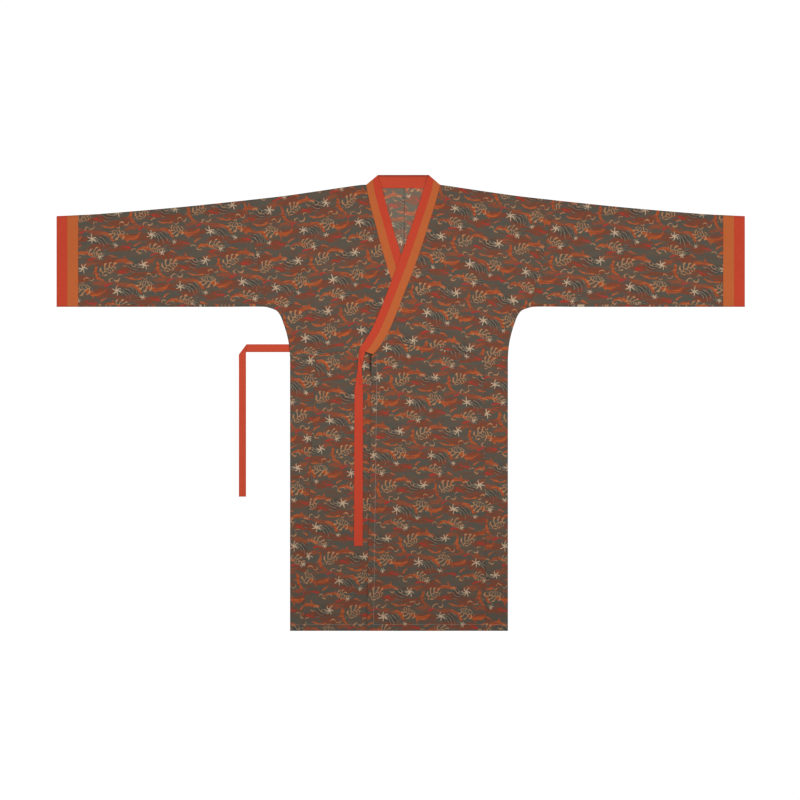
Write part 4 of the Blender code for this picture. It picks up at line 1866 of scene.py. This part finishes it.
@dataclass
class Collar:
    """The collar: a red and an orange strip for each front and for the back neck."""

    wall: float = BAND_WALL
    spacing: float = 5.0
    lean: float = -70.0  # the fronts' grain, in degrees
    over_clear: float = 0.03
    facing_turn: Crossing = Crossing(605.5, -2.5, 0.3)  # its lower edge, turned under
    fold_shade: Crossing = Crossing(624.3, 3.4, 1.1)  # painted shade along its top fold
    side_shade: Crossing = Crossing(600.0, 12.0, 0.5)  # and painted shadow of the front bands beside them
    side_run: float = 9.0
    # painted shade that the whole facing has
    least_shade: float = 0.03

    def strip(self, side: Side, colour: str) -> Panel:
        """A strip of the front band.

        Args:
            side: The wearer's side.
            colour: red or orange.

        Returns:
            The panel.
        """
        inner, outer = ("inner", "seam") if colour == "red" else ("seam", "outer")
        first, second = DRAFT.collar_edge(side, inner), DRAFT.collar_edge(side, outer)
        kinds = {"inner": EdgeKind.FOLDED, "seam": EdgeKind.BAND_SEAM, "outer": EdgeKind.BAND_JOIN}
        over = side is DRAFT.over
        end = EdgeKind.BAND_SEAM if over and colour == "red" else EdgeKind.FOLDED
        edges = strip_edges(first, second, (kinds[inner], end, kinds[outer], EdgeKind.FOLDED))
        return Panel(
            f"collar_{side.label}_{colour}", edges,
            DRAFT.over_floor if over else DRAFT.neck_floor, self.wall, self.spacing,
            Grain(self.lean * side.value), rim=BAND_RIM,
            loose=level(self.over_clear) if over else nothing)

    def back(self, name: str, upper: Line, lower: Line, kinds: tuple[EdgeKind, EdgeKind],
             under: float, **more: object) -> Panel:
        """A strip of the back neck band, from its right end to its left.

        Args:
            name: Its name's ending.
            upper: Its upper line.
            lower: Its lower line.
            kinds: How those two end.
            under: Height of its underside.
            more: Other panel fields.

        Returns:
            The panel.
        """
        edges = strip_edges(
            upper, lower, (kinds[0], EdgeKind.FOLDED, kinds[1], EdgeKind.FOLDED), False)
        return Panel(f"collar_back_{name}", edges, level(under), CLOTH_WALL, self.spacing,
                     **more)

    def build(self, robe: Robe) -> None:
        """Make the strips.

        Args:
            robe: What they are added to.
        """
        top = [DRAFT.collar_edge(side, "inner")[0] for side in (Side.RIGHT, Side.LEFT)]
        middle = DRAFT.neck_edge("seam", *BACK_BAND_SEAM)
        foot = DRAFT.neck_edge("outer", *BACK_BAND_FOOT)
        top_fold = (EdgeKind.SIDE_BACK, EdgeKind.BAND_SEAM)
        robe.add(self.back("red", top, middle, top_fold, FLOOR_CLEAR), "red_cloth", ("floor",))
        foot_seam = (EdgeKind.BAND_SEAM, EdgeKind.SEAM)
        robe.add(self.back("orange", middle, foot, foot_seam, FLOOR_CLEAR), "orange_cloth",
                 ("floor",))
        # painted light: the facing takes the paler wrong-side red, which lightens it where the
        # lamp's light is weaker
        robe.add(self.back("facing", top, foot, (EdgeKind.SIDE_FRONT, EdgeKind.FOLDED),
                           FRONT_FLOOR, wrong=Face.TOP, lift=self.facing_lift,
                           shade=self.facing_shade),
                 "red_cloth", ("collar_back_red", "collar_back_orange"))
        for side, below in ((Side.RIGHT, "bodice_back_right"), (Side.LEFT, "collar_right_red")):
            for colour in ("red", "orange"):
                robe.add(self.strip(side, colour), f"{colour}_cloth", (below,))

    def facing_lift(self, x: Array, y: Array) -> Array:
        """The facing's lower edge, turned under."""
        return self.facing_turn.at(y) + 0.0 * x

    def facing_shade(self, x: Array, y: Array) -> Array:
        """Painted shade along the top fold, and painted shadow of the front bands beside them.

        Args:
            x: The points' x.
            y: The points' y.

        Returns:
            One shade for each point.
        """
        (top_x, top_y), (foot_x, foot_y) = COLLAR["inner"][:2]
        band = blend(foot_x, top_x, (y - foot_y) / (top_y - foot_y))
        sides = 1.0 - ease((band - np.abs(x - NECK_X)) / self.side_run)
        return np.maximum(self.fold_shade.at(y),
                          self.least_shade + sides * self.side_shade.at(y))


class Fold(NamedTuple):
    """A crease on the front tie, drawn as a line of painted shade."""

    line: tuple[Point, ...]
    width: float
    shade: float


@dataclass
class Ties:
    """The front tie at the collar's end, and the side tie in its two runs."""

    wall: float = BAND_WALL
    front_spacing: float = 3.0
    side_spacing: float = 4.0
    front_rim: tuple[float, ...] = (0.45, 1.4, 3.0)
    narrow_at: Point = (-112.5, 94.0)  # the middle of the front tie's narrow place
    narrow_run: float = 30.0
    narrow_lean: float = -0.02
    heights: Point = (0.35, 0.55)  # of all the narrow place, and of a gather
    # Each gather's distance from the tie's middle, its width and its share of that height
    gathers: tuple[tuple[float, ...], ...] = ((2.6, 1.7, 1.0), (-3.0, 1.6, 0.7))
    folds: tuple[Fold, ...] = (
        Fold(((-113.2, 142.0), (-111.4, 126.0), (-108.6, 106.0)), 2.6, 0.75),
        Fold(((-117.4, 90.0), (-114.2, 70.0), (-112.0, 50.0)), 2.6, 0.4),
        Fold(((-115.0, 146.0), (-117.4, 116.0), (-119.4, 92.0)), 2.4, 0.35))
    front_wave: Point = (0.12, 37.0)  # height, and length over a full turn's 2 pi
    side_wave: Point = (0.14, 29.0)

    def pinch(self, x: Array, y: Array) -> Array:
        """Gathers on the front tie where it narrows below the collar.

        Args:
            x: The points' x.
            y: The points' y.

        Returns:
            The tie's looseness there, with its slight waviness.
        """
        (middle_x, middle_y), (whole, gathered) = self.narrow_at, self.heights
        narrow = np.exp(-((y - middle_y) / self.narrow_run) ** 2)
        middle = middle_x + self.narrow_lean * (y - middle_y)
        ridges = sum(share * np.exp(-((x - middle - off) / width) ** 2)
                     for off, width, share in self.gathers)
        height, length = self.front_wave
        return narrow * (whole + gathered * ridges) + height * (1.0 + np.sin(y / length))

    def pinch_shade(self, x: Array, y: Array) -> Array:
        """Painted shade in the creases between the gathers."""
        return reduce(np.maximum, [fold.shade * beside(x, y, fold.line, fold.width)
                                   for fold in self.folds])

    def front(self) -> Panel:
        """The front tie, pinched below the collar's end.

        Returns:
            The panel.
        """
        left, right = list(TIE_LEFT), list(TIE_RIGHT)
        edges = [Edge(left[:-1], EdgeKind.FOLDED), Edge(left[-2:], EdgeKind.FOLDED),
                 Edge([left[-1], right[-1]], EdgeKind.FOLDED),
                 Edge(right[:-3:-1], EdgeKind.FOLDED), Edge(right[-2::-1], EdgeKind.FOLDED),
                 Edge([right[0], left[0]], EdgeKind.BAND_SEAM)]
        return Panel("tie_front", edges, level(OVER_FLOOR), self.wall, self.front_spacing,
                     loose=self.pinch, shade=self.pinch_shade, rim=self.front_rim, rim_step=4.0)

    def wave(self, x: Array, y: Array) -> Array:
        """The side tie's slight waviness."""
        height, length = self.side_wave
        return height * (1.0 + np.sin((x - y) / length))

    def side_run(self) -> Panel:
        """The side tie's first run, from the side seam to the fold.

        Returns:
            The panel.
        """
        fold_top, fold_foot = SIDE_TIE_FOLD
        share = (SIDE_TIE_TOP - SIDE_TIE_FOOT) / (fold_top[1] - fold_foot[1])
        run_end = (blend(fold_top[0], fold_foot[0], share), SIDE_TIE_FOOT)
        start = DRAFT.side_edge(Side.RIGHT, SIDE_TIE_TOP, SIDE_TIE_FOOT)
        edges = straight([start[0], fold_top, run_end, start[-1]],
                         EdgeKind.FOLDED, EdgeKind.FOLDED, EdgeKind.TIE_FOLD)
        edges.append(Edge(start[::-1], EdgeKind.SEAM, False))
        return Panel("tie_side_run", edges, level(FLOOR_CLEAR), self.wall, self.side_spacing,
                     wrong=Face.TOP, rim=BAND_RIM)

    def side_drop(self) -> Panel:
        """Its second run, folded back over the first and laid along the body.

        Returns:
            The panel.
        """
        fold_top, fold_foot = SIDE_TIE_FOLD
        corner = (SIDE_TIE_INNER_X, SIDE_TIE_TOP - SIDE_TIE_TUCK)
        end_left, end_right = (fold_foot[0], SIDE_TIE_END_Y), (SIDE_TIE_INNER_X, SIDE_TIE_END_Y)
        edges = straight([fold_top, fold_foot, end_left, end_right, corner],
                         *[EdgeKind.FOLDED] * 3, EdgeKind.TIE_FOLD, EdgeKind.FOLDED)
        return Panel("tie_side_drop", edges, DRAFT.tie_drop_floor, self.wall, self.side_spacing,
                     Grain(90.0), Face.TOP, self.wave, rim=BAND_RIM)

    def build(self, robe: Robe) -> None:
        """Make the ties.

        Args:
            robe: What they are added to.
        """
        robe.add(self.front(), "red_cloth", ("bodice_front_right", "skirt_front_right"))
        robe.add(self.side_run(), "red_cloth", ("floor",))
        robe.add(self.side_drop(), "red_cloth", ("tie_side_run",))


@dataclass
class Stitching:
    """Running stitches along the hem and the overlap, made with Geometry Nodes."""

    spacing: float = 3.4
    length: float = 3.2
    radius: float = 0.44
    hem_radius: float = 0.34
    wobble: float = 0.05
    seed: int = 7
    top: float = CLOTH_WALL + HEM_LAYER
    sunk_over: float = 0.1
    sunk: float = 0.15
    step: float = 4.0  # between a hem line's points
    overlap_points: int = 190
    clear: float = 1.0  # from a seam
    side_clear: float = 2.0
    edge_clear: Point = (2.0, 3.0)  # from the over front's edge, on it and beside it

    def tree(self, thread: bpy.types.Material) -> Tree:
        """The stitch tree: evenly spaced threads along the given lines.

        Args:
            thread: The thread's material.

        Returns:
            The Geometry Nodes tree.
        """
        tree = bpy.data.node_groups.new("Running Stitch", "GeometryNodeTree")
        for label, kind in (("Geometry", "Geometry"), ("Spacing", "Float"), ("Length", "Float"),
                            ("Radius", "Float"), ("Wobble", "Float"), ("Seed", "Int")):
            tree.interface.new_socket(label, in_out="INPUT", socket_type=f"NodeSocket{kind}")
        tree.interface.new_socket("Geometry", in_out="OUTPUT", socket_type="NodeSocketGeometry")
        nodes = Nodes(tree)
        given = nodes.add("NodeGroupInput").outputs
        lines = nodes.add("GeometryNodeMeshToCurve", {"Mesh": given["Geometry"]})
        points = nodes.add("GeometryNodeCurveToPoints", {
            "Curve": lines, "Length": given["Spacing"]}, mode="LENGTH")
        aligned = nodes.add("FunctionNodeAlignRotationToVector",
                            {"Vector": points.outputs["Tangent"]}, axis="X")
        shake = nodes.add("FunctionNodeRandomValue", {
            "Seed": given["Seed"], 0: (0.0, 0.0, 0.0),
            1: nodes.joined(0.0, given["Wobble"], given["Wobble"])}, data_type="FLOAT_VECTOR")
        turned = nodes.add("FunctionNodeRotateRotation", {
            "Rotation": aligned, "Rotate By": nodes.add("FunctionNodeEulerToRotation",
                                                        {0: shake})}, rotation_space="LOCAL")
        bead = nodes.add("GeometryNodeMeshUVSphere", {"Segments": 8, "Rings": 5, "Radius": 1.0})
        placed = nodes.add("GeometryNodeInstanceOnPoints", {
            "Points": points.outputs["Points"], "Instance": bead, "Rotation": turned,
            "Scale": nodes.joined(nodes.math("MULTIPLY", given["Length"], 0.5),
                                  given["Radius"], given["Radius"])})
        real = nodes.add("GeometryNodeRealizeInstances", {0: placed})
        dressed = nodes.add("GeometryNodeSetMaterial", {"Geometry": real, "Material": thread})
        nodes.add("NodeGroupOutput", {0: dressed})
        return tree

    def sewn(self, name: str, tree: Tree, lines: list[Array], radius: float) -> Piece:
        """A row of stitches along lines of points in mm, as one plain mesh.

        Args:
            name: Its name.
            tree: The stitch tree.
            lines: The lines' points.
            radius: The thread's, in mm.

        Returns:
            The object.
        """
        places, pairs = [], []
        for line in lines:
            first = len(places)
            places += (line * MM).tolist()
            pairs += [(i, i + 1) for i in range(first, first + len(line) - 1)]
        mesh = bpy.data.meshes.new(f"{name}_line")
        mesh.from_pydata(places, pairs, [])
        guide = put_in_scene(f"{name}_line", mesh)
        modifier = guide.modifiers.new("stitches", "NODES")
        modifier.node_group = tree
        sockets = {item.name: item.identifier for item in tree.interface.items_tree
                   if item.item_type == "SOCKET" and item.in_out == "INPUT"}
        for label, value in (("Spacing", self.spacing * MM), ("Length", self.length * MM),
                             ("Radius", radius * MM), ("Wobble", self.wobble),
                             ("Seed", self.seed)):
            modifier[sockets[label]] = value
        bpy.context.view_layer.update()
        graph = bpy.context.evaluated_depsgraph_get()
        made = bpy.data.meshes.new_from_object(guide.evaluated_get(graph))
        made.name = name
        bpy.data.objects.remove(guide)
        piece = put_in_scene(name, smoothed(made))
        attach(piece, "root")
        LOG.info("%s: %d faces", name, len(made.polygons))
        return piece

    def hem_line(self, start: float, end: float, top: Height) -> Array:
        """A hem stitch line between two x, on a surface."""
        x = np.linspace(start, end, max(2, round(abs(end - start) / self.step)))
        y = np.full(len(x), HEM_LINE_Y)
        return np.column_stack([x, y, top(x, y)])

    def surface(self, floor: Height, loose: Height, sunk: float) -> Height:
        """Upper surface of a front panel, less how far a stitch line sinks into it."""
        return lambda x, y: floor(x, y) + loose(x, y) + self.top - sunk

    def build(self) -> tuple[Piece, ...]:
        """Sew the hem, front and back, and the overlap.

        Returns:
            The three rows of stitches.
        """
        tree = self.tree(THREAD.material())
        over = self.surface(DRAFT.over_floor, over_loose, self.sunk_over)
        under = self.surface(level(FRONT_FLOOR), LAID_UNDER, self.sunk)
        beside_them = self.surface(level(FRONT_FLOOR), LAID, self.sunk)
        left = DRAFT.body_edge(Side.LEFT) - self.side_clear
        right = DRAFT.body_edge(Side.RIGHT) + self.side_clear
        over_seam, under_seam = OVER_SIDE_SEAM[1], UNDER_SIDE_SEAM[1]
        on_over, on_under = self.edge_clear
        hem = self.sewn("stitching_hem_front", tree, [self.hem_line(*ends) for ends in (
            (OVER_EDGE[1] + on_over, over_seam - self.clear, over),
            (over_seam + self.clear, left, beside_them),
            (right, under_seam - self.clear, beside_them),
            (under_seam + self.clear, OVER_EDGE[1] - on_under, under))], self.hem_radius)
        y = np.linspace(FREE_EDGE_Y - self.clear, HEM_LINE_Y, self.overlap_points)
        x = DRAFT.facing_x(y)
        overlap = self.sewn("stitching_overlap", tree,
                            [np.column_stack([x, y, over(x, y)])], self.radius)
        low = level(self.hem_radius - 0.03)
        back = self.sewn("stitching_hem_back", tree, [
            self.hem_line(right, CENTRE_BACK_X - self.clear, low),
            self.hem_line(CENTRE_BACK_X + self.clear, left, low)], self.hem_radius)
        return hem, overlap, back


# --- Studio ---


WHITE = (1.0, 1.0, 1.0, 1.0)


@dataclass
class Studio:
    """A pale floor, soft light from above the neck, and a camera straight above the robe."""

    floor_half: float = 14.0  # metres, as are the rest here
    floor_z: float = -0.0004
    floor_white: float = 1.03
    lens: float = 120.0
    camera_at: tuple[float, float, float] = (-0.00193, 0.008, 7.363)
    key_at: tuple[float, float, float] = (0.12, 0.25, 1.4)
    key_size: tuple[float, float] = (4.3, 0.8)
    key_power: float = 26.8
    key_aim_y: float = 0.2
    sky: float = 0.358
    floor_glow: float = 0.4

    def floor(self) -> None:
        """The floor, plain white to the camera and seen only from above."""
        h = self.floor_half
        mesh = bpy.data.meshes.new("floor")
        mesh.from_pydata([(-h, -h, self.floor_z), (h, -h, self.floor_z), (h, h, self.floor_z),
                          (-h, h, self.floor_z)], [], [(0, 1, 2, 3)])
        made = bpy.data.materials.new("pale_floor")
        nodes = new_nodes(made)
        paint = nodes.add("ShaderNodeBsdfPrincipled", {
            "Base Color": (0.9, 0.9, 0.9, 1.0), "Roughness": 0.9, "Specular IOR Level": 0.1,
            "Emission Color": WHITE, "Emission Strength": self.floor_glow})
        white = nodes.add("ShaderNodeEmission", {"Color": WHITE, "Strength": self.floor_white})
        seen = nodes.value("ShaderNodeLightPath", output="Is Camera Ray")
        above = nodes.add("ShaderNodeMixShader", {0: seen, 1: paint, 2: white})
        below = nodes.value("ShaderNodeNewGeometry", output="Backfacing")
        nodes.show(nodes.add("ShaderNodeMixShader", {
            0: below, 1: above, 2: nodes.add("ShaderNodeBsdfTransparent")}))
        mesh.materials.append(made)
        put_in_scene("floor", mesh)

    def light(self) -> None:
        """A large soft lamp and an even white surround."""
        lamp = bpy.data.lights.new("key", "AREA")
        lamp.shape, lamp.energy = "RECTANGLE", self.key_power
        lamp.size, lamp.size_y = self.key_size
        key = put_in_scene("key", lamp)
        key.location = self.key_at
        key.rotation_euler.x = math.atan2(self.key_aim_y - self.key_at[1], self.key_at[2])
        world = bpy.data.worlds.new("surround")
        nodes = new_nodes(world)
        seen = nodes.value("ShaderNodeLightPath", output="Is Camera Ray")
        nodes.show(nodes.add("ShaderNodeBackground", {
            "Color": WHITE, "Strength": seen * (1.0 - self.sky) + self.sky}),
            "ShaderNodeOutputWorld")
        bpy.context.scene.world = world

    def camera(self) -> None:
        """A long lens straight above the middle of the robe."""
        made = bpy.data.cameras.new("camera")
        made.lens, made.sensor_width = self.lens, 36.0
        camera = put_in_scene("camera", made)
        camera.location = self.camera_at
        bpy.context.scene.camera = camera

    def build(self) -> None:
        """Set the stage."""
        bpy.context.scene.view_settings.view_transform = "Standard"
        self.floor()
        self.light()
        self.camera()


def main() -> None:
    """Build the robe, sew it and set the stage."""
    logging.basicConfig(level=logging.INFO, format="%(name)s: %(message)s")
    robe = Robe(cloth_materials())
    for assembly in (Bodice(), Skirt(), Sleeves(), Collar(), Ties()):
        assembly.build(robe)
    hem, overlap, back = Stitching().build()
    robe.sheet_of("skirt_front_left_cloth").with_pieces = (hem, overlap)
    robe.sheet_of("skirt_back_left_cloth").with_pieces = (back,)
    Studio().build()
    for sheet in robe.sheets:
        sheet.declare()


if __name__ == "__main__":
    main()
